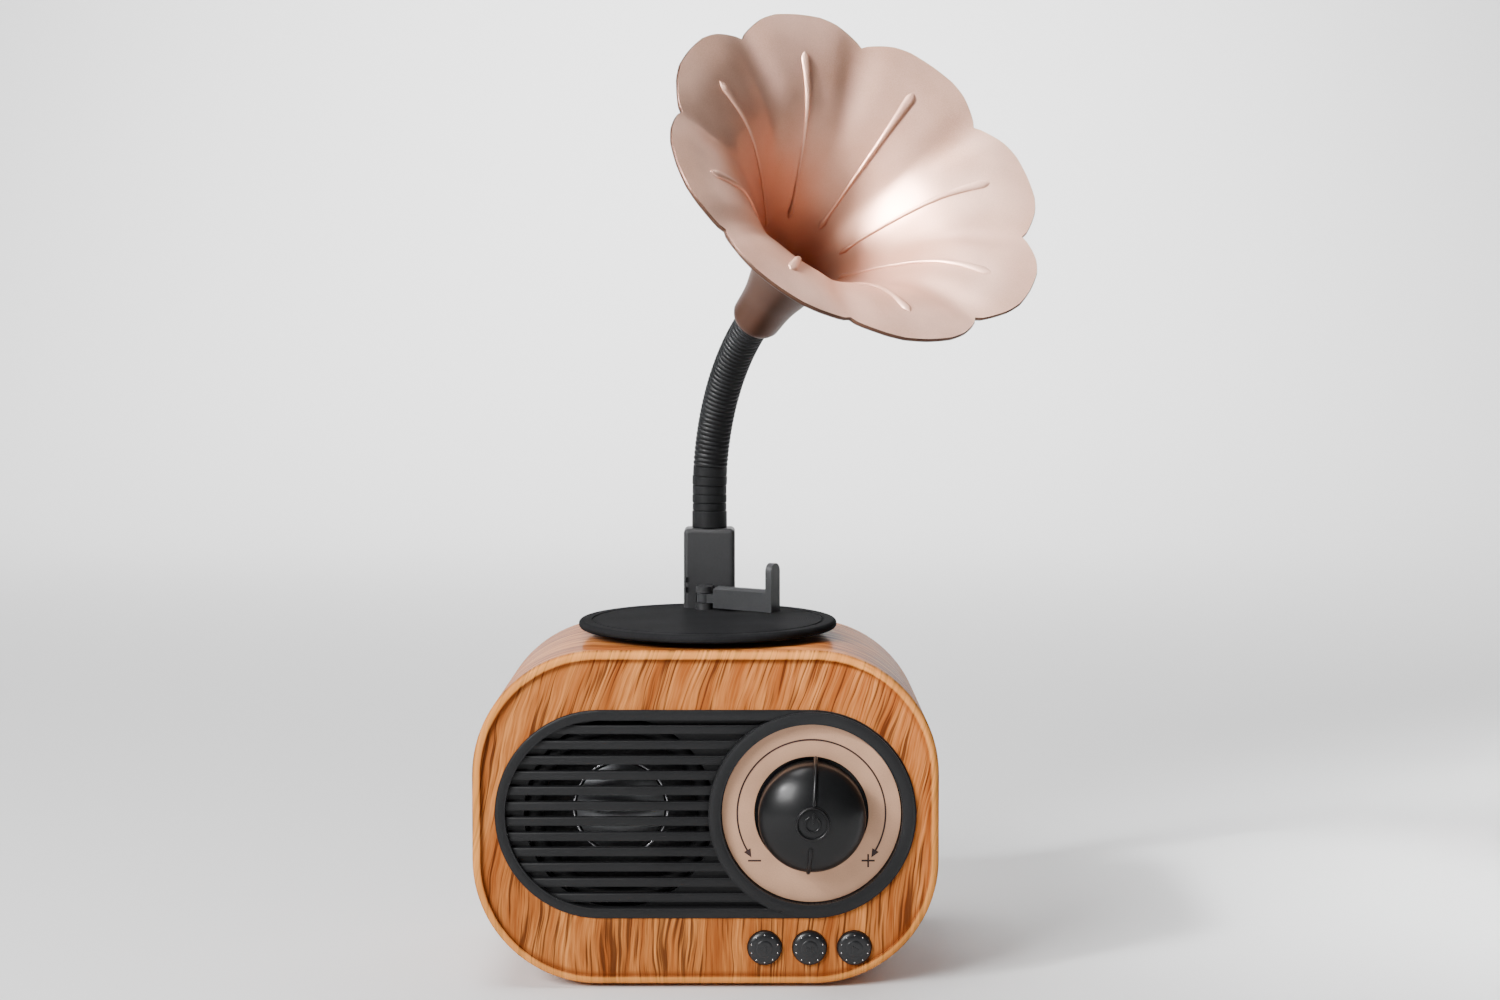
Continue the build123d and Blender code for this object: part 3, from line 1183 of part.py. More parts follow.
# ------------------------------------------------------------------ gooseneck
set_level = -SET_SCREW_DROP
with BuildPart() as gooseneck_base:
    foot_plane = neck_plane((0, POST_Y, POST_TOP_Z), 0)
    with BuildSketch(Plane(foot_plane.origin, x_dir=foot_plane.x_dir, z_dir=-foot_plane.y_dir)):
        with BuildLine():
            groove_r = NECK_SPIGOT_R - SET_GROOVE
            groove_half = SET_SCREW_R + 0.15
            Polyline(
                (0, FIRST_JOINT - LINK_SHOULDER_DROP + 0.3),
                (0, -NECK_SPIGOT_L),
                (NECK_SPIGOT_R, -NECK_SPIGOT_L),
                (NECK_SPIGOT_R, set_level - groove_half),
                (groove_r, set_level - groove_half),
                (groove_r, set_level + groove_half),
                (NECK_SPIGOT_R, set_level + groove_half),
                (NECK_SPIGOT_R, NECK_FOOT_PLAY),
                (NECK_R, NECK_FOOT_PLAY),
                (NECK_R, FIRST_JOINT - LINK_SHOULDER_DROP),
                (LINK_STEM_R, FIRST_JOINT - LINK_SHOULDER_DROP),
                (LINK_STEM_R, FIRST_JOINT - LINK_SHOULDER_DROP + 0.3),
                close=True,
            )
        make_face()
    revolve(axis=Axis((0, POST_Y, 0), (0, 0, 1)))
    with Locations((0, POST_Y, POST_TOP_Z + FIRST_JOINT)):
        Sphere(LINK_BALL_R)
gooseneck_base.part.label = "gooseneck_base"

links = []
for number in range(1, LINK_JOINTS):
    link_plane = LINK_PLANES[number - 1]
    with BuildPart() as link:
        with BuildSketch(link_plane.offset(-LINK_RIM_DROP)):
            Circle(NECK_R)
        extrude(amount=LINK_RIM_DROP + LINK_L - LINK_SHOULDER_DROP)
        with BuildSketch(link_plane.offset(LINK_L - LINK_SHOULDER_DROP)):
            Circle(LINK_STEM_R)
        extrude(amount=0.3)
        with Locations(link_plane.offset(LINK_L).origin):
            Sphere(LINK_BALL_R)
        with Locations(link_plane.origin):
            Sphere(LINK_BALL_R + LINK_BALL_CLEAR, mode=Mode.SUBTRACT)
    link.part.label = f"gooseneck_link_{number}"
    links.append(link.part)

with BuildPart() as gooseneck_tip:
    with BuildSketch(LINK_PLANES[-1].offset(-LINK_RIM_DROP)):
        Circle(NECK_R)
    extrude(amount=LINK_RIM_DROP + LINK_L / 2)
    with BuildSketch(HORN_PLANE):
        Circle(TIP_SPIGOT_R)
    extrude(amount=TIP_SPIGOT_L)
    with Locations(LINK_PLANES[-1].origin):
        Sphere(LINK_BALL_R + LINK_BALL_CLEAR, mode=Mode.SUBTRACT)
gooseneck_tip.part.label = "gooseneck_tip"

# ------------------------------------------------------------------ horn
# Turned profile of the bell: radius across, distance from the neck end upwards
horn_side = Plane(HORN_PLANE.origin, x_dir=HORN_PLANE.x_dir, z_dir=-HORN_PLANE.y_dir)
with BuildPart() as horn_bell:
    with BuildSketch(horn_side):
        with BuildLine():
            inside = Spline(
                (HORN_THROAT_R, HORN_THROAT_L),
                (FLARE_MID_R, FLARE_MID_L),
                (FLARE_WIDE_R, FLARE_WIDE_L),
                (FLARE_LATE_R, FLARE_LATE_L),
                (PETAL_TIP_R + HORN_TRIM, HORN_RIM_L),
                tangents=((0.1, 1), (1, 0.16)),
            )
            outside = Spline(
                (HORN_NECK_R, HORN_NECK_ROUND),
                (FLARE_MID_R + HORN_T, FLARE_MID_L - HORN_T * 0.4),
                (FLARE_WIDE_R + HORN_T * 0.75, FLARE_WIDE_L - HORN_T),
                (FLARE_LATE_R + HORN_T * 0.3, FLARE_LATE_L - HORN_T),
                (PETAL_TIP_R + HORN_TRIM, HORN_RIM_L - HORN_T),
                tangents=((0.16, 1), (1, 0.16)),
            )
            Line(inside @ 1, outside @ 1)
            Polyline(inside @ 0, (0, HORN_THROAT_L), (0, 0), (HORN_NECK_R - HORN_NECK_ROUND, 0))
            RadiusArc((HORN_NECK_R - HORN_NECK_ROUND, 0), outside @ 0, -HORN_NECK_ROUND)
        make_face()
    revolve(axis=Axis(HORN_PLANE.origin, HORN_PLANE.z_dir))
    # Trim the rim to eight petals, each a shallow arc between two notches
    with BuildSketch(HORN_PLANE.offset(HORN_L / 2)):
        Circle(PETAL_TIP_R + 3)
        with PolarLocations(PETAL_TIP_R - PETAL_ARC_R, PETALS):
            Circle(PETAL_ARC_R, mode=Mode.SUBTRACT)
        Circle(PETAL_NOTCH_R, mode=Mode.SUBTRACT)
    extrude(amount=HORN_L, mode=Mode.SUBTRACT)
    with BuildSketch(HORN_PLANE):
        Circle(TIP_SPIGOT_R + GLUE_CLEAR)
    extrude(amount=TIP_SPIGOT_L + 0.5, mode=Mode.SUBTRACT)
horn_bell.part.label = "horn_bell"

# ------------------------------------------------------------------ wiring
board_back_y = BOARD_BACK - CAB_D / 2
with BuildPart() as speaker_leads:
    for side in (-1, 1):
        lead = side * LEAD_PITCH / 2
        tag_x = DRIVER_X + math.sqrt(MAGNET_R**2 - (TAG_DZ + lead - LEAD_R) ** 2) + GLUE_CLEAR
        with BuildLine() as route:
            FilletPolyline(
                (10.0, board_back_y, PANEL_Z + 24 + lead),
                (10.0, board_back_y + 8, PANEL_Z + 24 + lead),
                (0.0 - lead, board_back_y + 8, PANEL_Z + 24 + lead),
                (0.0 - lead, board_back_y + 8, PANEL_Z + TAG_DZ + lead),
                (tag_x, board_back_y + 8, PANEL_Z + TAG_DZ + lead),
                radius=LEAD_BEND_R,
            )
        with BuildSketch(Plane(route.line @ 0, z_dir=route.line % 0)):
            Circle(LEAD_R)
        sweep(path=route.line)
speaker_leads.part.label = "speaker_leads"

with BuildPart() as battery_leads:
    for side in (-1, 1):
        lead_z = CELL_Z + CELL_R - 1.8 + side * LEAD_PITCH / 2
        with BuildLine() as route:
            FilletPolyline(
                (CELL_L / 2, CELL_Y, lead_z),
                (CELL_L / 2 + 3.4, CELL_Y, lead_z),
                (CELL_L / 2 + 3.4, CELL_Y - 12, lead_z),
                (26.0, CELL_Y - 12, lead_z),
                (26.0, board_back_y, lead_z),
                radius=LEAD_BEND_R,
            )
        with BuildSketch(Plane(route.line @ 0, z_dir=route.line % 0)):
            Circle(LEAD_R)
        sweep(path=route.line)
battery_leads.part.label = "battery_leads"

with BuildPart() as port_harness:
    with BuildLine() as route:
        FilletPolyline(
            (8.0, port_front - CAB_D / 2, PORT_BOARD_Z),
            (8.0, port_front - CAB_D / 2 - 8, PORT_BOARD_Z),
            (8.0, port_front - CAB_D / 2 - 8, PORT_BOARD_Z + 16),
            (20.0, port_front - CAB_D / 2 - 8, PORT_BOARD_Z + 16),
            (20.0, board_back_y, PORT_BOARD_Z + 16),
            radius=3.6,
        )
    with BuildSketch(Plane(route.line @ 0, z_dir=route.line % 0)):
        Circle(2 * LEAD_R)
    sweep(path=route.line)
port_harness.part.label = "port_harness"

# ------------------------------------------------------------------ write the pieces
pieces = [
    front_housing.part,
    rear_cover.part,
    rear_screws.part,
    rubber_foot.part,
    front_panel.part,
    mic_capsule.part,
    driver_basket.part,
    driver_magnet.part,
    driver_surround.part,
    driver_cone.part,
    dust_cap.part,
    driver_screws.part,
    dial_plate.part,
    dial_marks.part,
    volume_knob.part,
    encoder_shaft.part,
    encoder_can.part,
    *buttons,
    tact_switches.part,
    main_board.part,
    board_chips.part,
    board_screws.part,
    port_board.part,
    port_board_screws.part,
    usb_socket.part,
    audio_jack.part,
    card_slot.part,
    port_plate.part,
    battery_cell.part,
    platter.part,
    bearing_washer.part,
    retainer.part,
    retainer_screw.part,
    post_screws.part,
    post.part,
    neck_set_screw.part,
    arm_pin.part,
    tonearm.part,
    gooseneck_base.part,
    *links,
    gooseneck_tip.part,
    horn_bell.part,
    speaker_leads.part,
    battery_leads.part,
    port_harness.part,
]
for piece in pieces:
    export_step(piece, f"parts/{piece.label}.step")
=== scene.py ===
"""Looks of the mini gramophone loudspeaker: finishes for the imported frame, and the detailed pieces on it.

Sizes are in millimetres until a piece is finished; x runs to the listener's right, y to the rear, z up.
"""
import logging
import math
from dataclasses import dataclass
from enum import Enum

import bmesh
import bpy
from mathutils import Matrix, Vector


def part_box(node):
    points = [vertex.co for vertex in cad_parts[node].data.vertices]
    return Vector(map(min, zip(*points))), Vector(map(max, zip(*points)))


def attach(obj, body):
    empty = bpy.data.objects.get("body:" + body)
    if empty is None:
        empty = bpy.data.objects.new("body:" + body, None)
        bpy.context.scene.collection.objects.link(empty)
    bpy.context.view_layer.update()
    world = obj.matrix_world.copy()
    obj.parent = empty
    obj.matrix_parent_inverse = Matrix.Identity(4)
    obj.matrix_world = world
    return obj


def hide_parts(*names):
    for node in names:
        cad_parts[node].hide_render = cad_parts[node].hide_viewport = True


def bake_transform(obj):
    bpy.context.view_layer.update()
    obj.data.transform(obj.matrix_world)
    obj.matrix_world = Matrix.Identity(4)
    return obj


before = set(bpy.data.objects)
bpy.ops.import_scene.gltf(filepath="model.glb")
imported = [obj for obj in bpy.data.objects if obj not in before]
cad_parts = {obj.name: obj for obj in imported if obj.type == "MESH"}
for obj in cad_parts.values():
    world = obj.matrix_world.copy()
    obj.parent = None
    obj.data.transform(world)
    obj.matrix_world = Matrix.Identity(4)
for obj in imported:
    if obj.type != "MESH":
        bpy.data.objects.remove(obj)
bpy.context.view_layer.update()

MM = 0.001
LOG = logging.getLogger("gramophone")

Colour = tuple[float, float, float]
Point = tuple[float, float]
Shell = bmesh.types.BMesh
Socket = bpy.types.NodeSocket
Feed = Socket | float | Colour

# Materials already made, by the name of their finish
MADE: dict[str, bpy.types.Material] = {}


class Axis(Enum):
    """Ways in which the turning axis of a shape points once it is in place."""

    UP = "up"
    FORWARD = "forward"


def standing(x: float, y: float, z: float, axis: Axis = Axis.UP, turn: float = 0.0) -> Matrix:
    """Place of a turned shape at x, y, z, with its turning axis along axis and turned by turn degrees about it."""
    tilt = Matrix.Rotation(math.radians(90), 4, "X") if axis is Axis.FORWARD else Matrix.Identity(4)
    return Matrix.Translation((x, y, z)) @ tilt @ Matrix.Rotation(math.radians(turn), 4, "Z")


def eased(value: float, low: float, high: float) -> float:
    """Smooth step from 0 at low to 1 at high."""
    share = min(max((value - low) / (high - low), 0.0), 1.0)
    return share * share * (3 - 2 * share)


def between(value: float, table: tuple[Point, ...]) -> float:
    """Straight-line reading of a table of (value, result) pairs in rising order."""
    for (low, start), (high, end) in zip(table, table[1:]):
        if value <= high:
            return start + (end - start) * max(0.0, (value - low) / (high - low))
    return table[-1][1]


def smooth_line(points: tuple[Point, ...], spacing: float) -> list[Point]:
    """Evenly divided curve through the points.

    Args:
        points: the points that it passes through.
        spacing: about how far apart the results lie.

    Returns:
        Points along the curve, both ends among them.
    """
    padded = [points[0], *points, points[-1]]
    line = [points[0]]
    for p0, p1, p2, p3 in zip(padded, padded[1:], padded[2:], padded[3:]):
        steps = max(1, round(math.dist(p1, p2) / spacing))
        for step in range(1, steps + 1):
            t = step / steps
            line.append(
                tuple(
                    0.5 * (2 * b + (c - a) * t + (2 * a - 5 * b + 4 * c - d) * t * t + (3 * b - a - 3 * c + d) * t**3)
                    for a, b, c, d in zip(p0, p1, p2, p3)
                )
            )
    return line


# ------------------------------------------------------------------ shaping
def spun(profile: list[Point], steps: int) -> Shell:
    """Closed shell turned about the upright axis.

    Args:
        profile: (radius, height) points whose two ends lie on the axis.
        steps: how many faces go round.

    Returns:
        The shell.
    """
    shell = bmesh.new()
    verts = [shell.verts.new((radius, 0, height)) for radius, height in profile]
    edges = [shell.edges.new(pair) for pair in zip(verts, verts[1:])]
    bmesh.ops.spin(
        shell, geom=verts + edges, cent=(0, 0, 0), axis=(0, 0, 1), angle=math.tau, steps=steps, use_merge=True
    )
    bmesh.ops.remove_doubles(shell, verts=shell.verts, dist=1e-4)
    bmesh.ops.recalc_face_normals(shell, faces=shell.faces)
    return shell


def seat(rim: dict[bmesh.types.BMVert, Vector], place: Matrix, half_span: float) -> None:
    """Moves the corners of a unit circle to a place, its halves pulled apart along x."""
    for vert, unit in rim.items():
        vert.co = place @ unit
        vert.co.x += math.copysign(half_span, unit.x)


def lofted(places: list[Matrix], sides: int, closed: bool = False, half_span: float = 0.0) -> Shell:
    """Closed shell through a unit circle set at each place.

    Args:
        places: position, direction and size of each circle.
        sides: how many sides the circles have.
        closed: whether the last circle joins the first, as in a ring.
        half_span: how far the two halves of every circle are pulled apart along x.

    Returns:
        The shell.
    """
    shell = bmesh.new()
    half_step = Matrix.Rotation(math.pi / sides, 4, "Z")
    made = bmesh.ops.create_circle(shell, segments=sides, radius=1.0, matrix=half_step)["verts"]
    rim = {vert: vert.co.copy() for vert in made}
    first = loop = shell.edges[:]
    order = places[1:] + places[:1] if closed else places[1:]
    seat(rim, places[0], half_span)
    for place in order:
        grown = bmesh.ops.extrude_edge_only(shell, edges=loop)["geom"]
        fresh = [item for item in grown if isinstance(item, bmesh.types.BMVert)]
        rim = {v: next(rim[e.other_vert(v)] for e in v.link_edges if e.other_vert(v) in rim) for v in fresh}
        loop = [item for item in grown if isinstance(item, bmesh.types.BMEdge) and all(v in rim for v in item.verts)]
        seat(rim, place, half_span)
    if closed:
        bmesh.ops.remove_doubles(shell, verts=shell.verts, dist=1e-4)
    else:
        bmesh.ops.holes_fill(shell, edges=first + loop, sides=0)
    bmesh.ops.recalc_face_normals(shell, faces=shell.faces)
    return shell


def rolled(section: list[Point], sides: int, half_span: float = 0.0) -> Shell:
    """Ring with a section of (radius, height) points: round, or a stadium where half_span pulls its halves apart."""
    places = [
        Matrix.Translation((0, 0, height)) @ Matrix.Diagonal((radius, radius, 1, 1)) for radius, height in section
    ]
    return lofted(places, sides, closed=True, half_span=half_span)


def block(low: Vector, high: Vector, edge: float, segments: int = 3) -> Shell:
    """Box between two corners with its edges rounded by edge."""
    shell = bmesh.new()
    bmesh.ops.create_cube(shell, size=1.0)
    size = high - low
    bmesh.ops.scale(shell, vec=size, verts=shell.verts)
    bmesh.ops.translate(shell, vec=(low + high) / 2, verts=shell.verts)
    bmesh.ops.bevel(
        shell, geom=shell.edges[:], offset=edge, segments=segments, profile=0.5, affect="EDGES", material=-1
    )
    return shell


def wedge(radius: float, thickness: float) -> Shell:
    """Three-cornered prism with its tip along x, for the arrow signs."""
    shell = bmesh.new()
    bmesh.ops.create_cone(
        shell, cap_ends=True, segments=3, radius1=radius, radius2=radius * 0.9, depth=thickness,
        matrix=Matrix.Rotation(math.radians(-90), 4, "Z"),
    )
    return shell


class Blank:
    """A piece in the making: closed shells gathered in one mesh."""

    def __init__(self) -> None:
        """Starts with nothing in it."""
        self.mesh = bmesh.new()

    def add(self, shell: Shell, place: Matrix | None = None, finish: int | None = 0) -> None:
        """Takes a shell in at its place.

        Args:
            shell: the shell, which is used up.
            place: where it goes, or None where it already lies there.
            finish: which of the piece's finishes it takes, or None where its faces say so.
        """
        if place is not None:
            shell.transform(place)
            if place.determinant() < 0:
                bmesh.ops.reverse_faces(shell, faces=shell.faces)
        if finish is not None:
            for face in shell.faces:
                face.material_index = finish
        data = bpy.data.meshes.new("shell")
        shell.to_mesh(data)
        shell.free()
        self.mesh.from_mesh(data)
        bpy.data.meshes.remove(data)

    def piece(self, name: str, *finishes: "Finish", crease: float = 40.0) -> bpy.types.Object:
        """Makes the object, at the origin and in metres.

        Args:
            name: the piece's name.
            finishes: its finishes, in the order of their numbers.
            crease: angle in degrees from which an edge is shaded sharp.

        Returns:
            The object.
        """
        self.mesh.transform(Matrix.Scale(MM, 4))
        for face in self.mesh.faces:
            face.smooth = True
        for edge in self.mesh.edges:
            edge.smooth = edge.calc_face_angle(0.0) < math.radians(crease)
        data = bpy.data.meshes.new(name)
        self.mesh.to_mesh(data)
        self.mesh.free()
        for finish in finishes:
            data.materials.append(finish.material())
        made = bpy.data.objects.new(name, data)
        bpy.context.scene.collection.objects.link(made)
        LOG.info("%s: %d faces", name, len(data.polygons))
        return made


# ------------------------------------------------------------------ finishes
class Graph:
    """Node tree of one finish."""

    def __init__(self, name: str) -> None:
        """Starts a material with its shader and its place on the object."""
        self.material = bpy.data.materials.new(name)
        self.material.use_nodes = True
        self.tree = self.material.node_tree
        self.shader = self.tree.nodes["Principled BSDF"]
        self.place = self.tree.nodes.new("ShaderNodeTexCoord").outputs["Object"]

    def add(self, kind: str, feeds: dict[str | int, Feed], **settings: str) -> bpy.types.Node:
        """Adds a node.

        Args:
            kind: the node's type.
            feeds: a value or another node's socket for each of its inputs.
            settings: its other settings.

        Returns:
            The node.
        """
        node = self.tree.nodes.new(kind)
        for key, value in settings.items():
            setattr(node, key, value)
        for key, value in feeds.items():
            if isinstance(value, Socket):
                self.tree.links.new(value, node.inputs[key])
            else:
                node.inputs[key].default_value = value
        return node

    def maths(self, operation: str, first: Feed, second: Feed = 0.0) -> Socket:
        """One sum on two values."""
        return self.add("ShaderNodeMath", {0: first, 1: second}, operation=operation).outputs[0]

    def plus(self, first: Feed, second: Feed) -> Socket:
        """Two values added."""
        return self.maths("ADD", first, second)

    def minus(self, first: Feed, second: Feed) -> Socket:
        """The second value taken from the first."""
        return self.maths("SUBTRACT", first, second)

    def times(self, first: Feed, second: Feed) -> Socket:
        """Two values multiplied."""
        return self.maths("MULTIPLY", first, second)

    def split(self, vector: Socket) -> list[Socket]:
        """The x, y and z of a vector."""
        return list(self.add("ShaderNodeSeparateXYZ", {0: vector}).outputs)

    def joined(self, *values: Feed) -> Socket:
        """Vector of up to three values."""
        return self.add("ShaderNodeCombineXYZ", dict(enumerate(values))).outputs[0]

    def vectors(self, operation: str, first: Feed, second: Feed = (0.0, 0.0, 0.0)) -> Socket:
        """One sum on two vectors, with a vector for its result."""
        return self.add("ShaderNodeVectorMath", {0: first, 1: second}, operation=operation).outputs[0]

    def length(self, vector: Socket) -> Socket:
        """Length of a vector."""
        return self.add("ShaderNodeVectorMath", {0: vector}, operation="LENGTH").outputs["Value"]

    def noise(self, vector: Socket, scale: float, detail: float = 2.0, roughness: float = 0.5) -> Socket:
        """Cloudy value from 0 to 1 with scale features to the metre."""
        feeds = {"Vector": vector, "Scale": scale, "Detail": detail, "Roughness": roughness}
        return self.add("ShaderNodeTexNoise", feeds).outputs["Fac"]

    def stretched(self, vector: Socket, size: tuple[float, float, float]) -> Socket:
        """The vector with each part multiplied."""
        return self.add("ShaderNodeMapping", {"Vector": vector, "Scale": size}).outputs["Vector"]

    def range(self, value: Socket, low: float, high: float, start: float = 0.0, end: float = 1.0) -> Socket:
        """Value moved from low..high to start..end, and held there outside them."""
        feeds = {"Value": value, "From Min": low, "From Max": high, "To Min": start, "To Max": end}
        return self.add("ShaderNodeMapRange", feeds).outputs["Result"]

    def mixed(self, share: Feed, first: Feed, second: Feed) -> Socket:
        """Colour between two others."""
        full = [(*c, 1.0) if isinstance(c, tuple) else c for c in (first, second)]
        return self.add("ShaderNodeMix", {0: share, 6: full[0], 7: full[1]}, data_type="RGBA").outputs[2]

    def set(self, **values: float) -> None:
        """Gives the shader values that are the same all over; an underscore stands for a space."""
        for key, value in values.items():
            self.shader.inputs[key.replace("_", " ")].default_value = value

    def feed(self, name: str, socket: Socket) -> None:
        """Links a socket to one of the shader's inputs."""
        self.tree.links.new(socket, self.shader.inputs[name])

    def bump(self, height: Socket, depth: float, strength: float = 1.0) -> None:
        """Raises the surface by a height value times depth, in metres."""
        node = self.add("ShaderNodeBump", {"Height": height, "Distance": depth, "Strength": strength})
        self.feed("Normal", node.outputs["Normal"])


@dataclass(frozen=True)
class Finish:
    """Base of every finish: a name and a colour, made into a material once."""

    name: str
    colour: Colour

    def material(self) -> bpy.types.Material:
        """The material of this finish."""
        if self.name not in MADE:
            graph = Graph(f"finish_{self.name}")
            self.build(graph)
            MADE[self.name] = graph.material
        return MADE[self.name]

    def build(self, graph: Graph) -> None:
        """Fills the graph; each kind of finish has its own way."""
        raise NotImplementedError


@dataclass(frozen=True)
class Moulded(Finish):
    """Moulded plastic or rubber with a fine grain from the tool."""

    rough: float = 0.42
    grain: float = 2600.0
    depth: float = 0.00002
    cloud: float = 0.12
    coat: float = 0.0
    ior: float = 1.4

    def skin(self, graph: Graph) -> Socket:
        """Grain in the gloss, with a faint cloud in the colour.

        Args:
            graph: the node tree.

        Returns:
            The grain.
        """
        cloud = graph.noise(graph.place, 70.0, 3.0)
        fine = graph.noise(graph.place, self.grain, 3.0, 0.6)
        light = tuple(min(1.0, c * (1 + self.cloud) + 0.002) for c in self.colour)
        dark = tuple(c * (1 - self.cloud) for c in self.colour)
        graph.feed("Base Color", graph.mixed(graph.range(graph.plus(cloud, fine), 0.7, 1.3), dark, light))
        graph.feed("Roughness", graph.range(fine, 0.25, 0.75, self.rough - 0.06, self.rough + 0.08))
        graph.set(Coat_Weight=self.coat, Coat_Roughness=0.2, IOR=self.ior)
        return fine

    def build(self, graph: Graph) -> None:
        """The skin, with its grain raised."""
        graph.bump(self.skin(graph), self.depth)


@dataclass(frozen=True)
class Grooved(Moulded):
    """Moulded plastic with fine record grooves about the upright axis."""

    pitch: float = 0.0006
    label: Point = (0.0122, 0.0126)
    groove: float = 0.000018

    def build(self, graph: Graph) -> None:
        """The skin, with the grooves raised from the label's edge outwards."""
        self.skin(graph)
        x, y, _ = graph.split(graph.place)
        radius = graph.length(graph.joined(x, y))
        wave = graph.maths("SINE", graph.times(radius, math.tau / self.pitch))
        graph.bump(graph.times(wave, graph.range(radius, *self.label)), self.groove, 0.8)


@dataclass(frozen=True)
class WoodPrint(Finish):
    """Wood-grain print under a clear coat: streaks lean on the front and run round the sides, in metres; a painted
    highlight lightens the front lip and painted shade darkens the hollow inside it.
    """

    light: Colour
    streak: Colour
    pore: Colour
    # painted highlight colour laid on the front lip
    lip_highlight: Colour
    reach_x: float = 0.0255
    reach_z: float = 0.010
    middle_z: float = 0.0405
    corner: float = 0.0295
    front_y: float = -0.0312
    side_from: float = 0.0262
    side_lean: float = 0.22
    front_lean: float = 2.3
    wander: float = 0.0017
    lip_highlight_ring: tuple[Point, Point] = ((0.0275, 0.0279), (0.0296, 0.0290))
    hollow_shade_ring: tuple[Point, Point] = ((0.0263, 0.0272), (0.0277, 0.0274))

    def from_middle(self, graph: Graph, parts: list[Socket]) -> Socket:
        """Distance from the line that the rounded outline is drawn round."""
        height = graph.minus(parts[2], self.middle_z)
        over = [
            graph.maths("MAXIMUM", graph.minus(graph.maths("ABSOLUTE", value), reach), 0.0)
            for value, reach in ((parts[0], self.reach_x), (height, self.reach_z))
        ]
        return graph.maths("SQRT", graph.plus(*(graph.times(value, value) for value in over)))

    def wrapped(self, graph: Graph, parts: list[Socket]) -> Socket:
        """Grain coordinates on the sides: across the grain from front to rear, and along it round the outline."""
        height = graph.minus(parts[2], self.middle_z)
        near_x, near_z = (
            graph.maths("MAXIMUM", graph.maths("MINIMUM", value, reach), -reach)
            for value, reach in ((parts[0], self.reach_x), (height, self.reach_z))
        )
        angle = graph.maths("ARCTAN2", graph.minus(parts[0], near_x), graph.minus(height, near_z))
        drop = graph.times(graph.maths("SIGN", parts[0]), graph.minus(self.reach_z, near_z))
        along = graph.plus(graph.times(angle, self.corner), graph.plus(near_x, drop))
        return graph.joined(graph.plus(parts[1], graph.times(along, self.side_lean)), along, 0.05)

    def flat(self, graph: Graph, parts: list[Socket]) -> Socket:
        """Grain coordinates on the front and the back, where the grain leans more the higher it is."""
        lean = graph.times(graph.times(parts[2], parts[2]), self.front_lean)
        return graph.joined(graph.minus(parts[0], lean), parts[2])

    def ring(self, graph: Graph, reach: Socket, inner: Point, outer: Point) -> Socket:
        """Share that is 1 between two distances from the middle line, eased over inner and outer."""
        return graph.times(graph.range(reach, *inner), graph.range(reach, *outer))

    def build(self, graph: Graph) -> None:
        """Tones, broken dark streaks and fine fibres along one grain, a painted highlight on the lip and painted
        shade in the hollow inside it, with a glossy coat.
        """
        parts = graph.split(graph.place)
        reach = self.from_middle(graph, parts)
        behind = graph.maths("GREATER_THAN", parts[1], self.front_y)
        side = graph.times(behind, graph.maths("GREATER_THAN", reach, self.side_from))
        grains = {0: side, 4: self.flat(graph, parts), 5: self.wrapped(graph, parts)}
        grain = graph.add("ShaderNodeMix", grains, data_type="VECTOR").outputs[1]
        wobble = graph.noise(graph.stretched(grain, (1.0, 0.5, 1.0)), 70.0, 2.0)
        shift = graph.joined(graph.range(wobble, 0.2, 0.8, -self.wander, self.wander))
        grain = graph.vectors("ADD", grain, shift)
        tone = graph.noise(graph.stretched(grain, (230.0, 17.0, 40.0)), 1.0, 3.0, 0.55)
        fibre = graph.noise(graph.stretched(grain, (1700.0, 75.0, 300.0)), 1.0, 3.0, 0.65)
        cluster = graph.noise(graph.stretched(grain, (110.0, 30.0, 60.0)), 1.0, 2.0)
        streak = graph.noise(graph.stretched(grain, (1500.0, 42.0, 200.0)), 1.0, 2.0, 0.5)
        body = graph.mixed(graph.range(tone, 0.38, 0.62), self.colour, self.light)
        body = graph.mixed(graph.range(fibre, 0.36, 0.70, 0.0, 0.7), body, self.streak)
        marks = graph.range(graph.plus(streak, graph.times(cluster, 0.5)), 0.77, 0.88)
        body = graph.mixed(graph.times(marks, 0.78), body, self.pore)
        ahead = graph.minus(1.0, side)
        # painted highlight: the ring along the front lip is lightened towards the lip colour
        lip_highlight = graph.times(self.ring(graph, reach, *self.lip_highlight_ring), ahead)
        body = graph.mixed(graph.times(lip_highlight, 0.45), body, self.lip_highlight)
        # painted shade: the hollow ring inside the lip is darkened with the streak colour
        hollow_shade = graph.times(self.ring(graph, reach, *self.hollow_shade_ring), ahead)
        graph.feed("Base Color", graph.mixed(graph.times(hollow_shade, 0.5), body, self.streak))
        graph.feed("Roughness", graph.range(fibre, 0.3, 0.7, 0.38, 0.52))
        graph.set(Coat_Weight=0.2, Coat_Roughness=0.12, Coat_IOR=1.15, IOR=1.02)
        graph.bump(marks, 0.000012, 0.5)


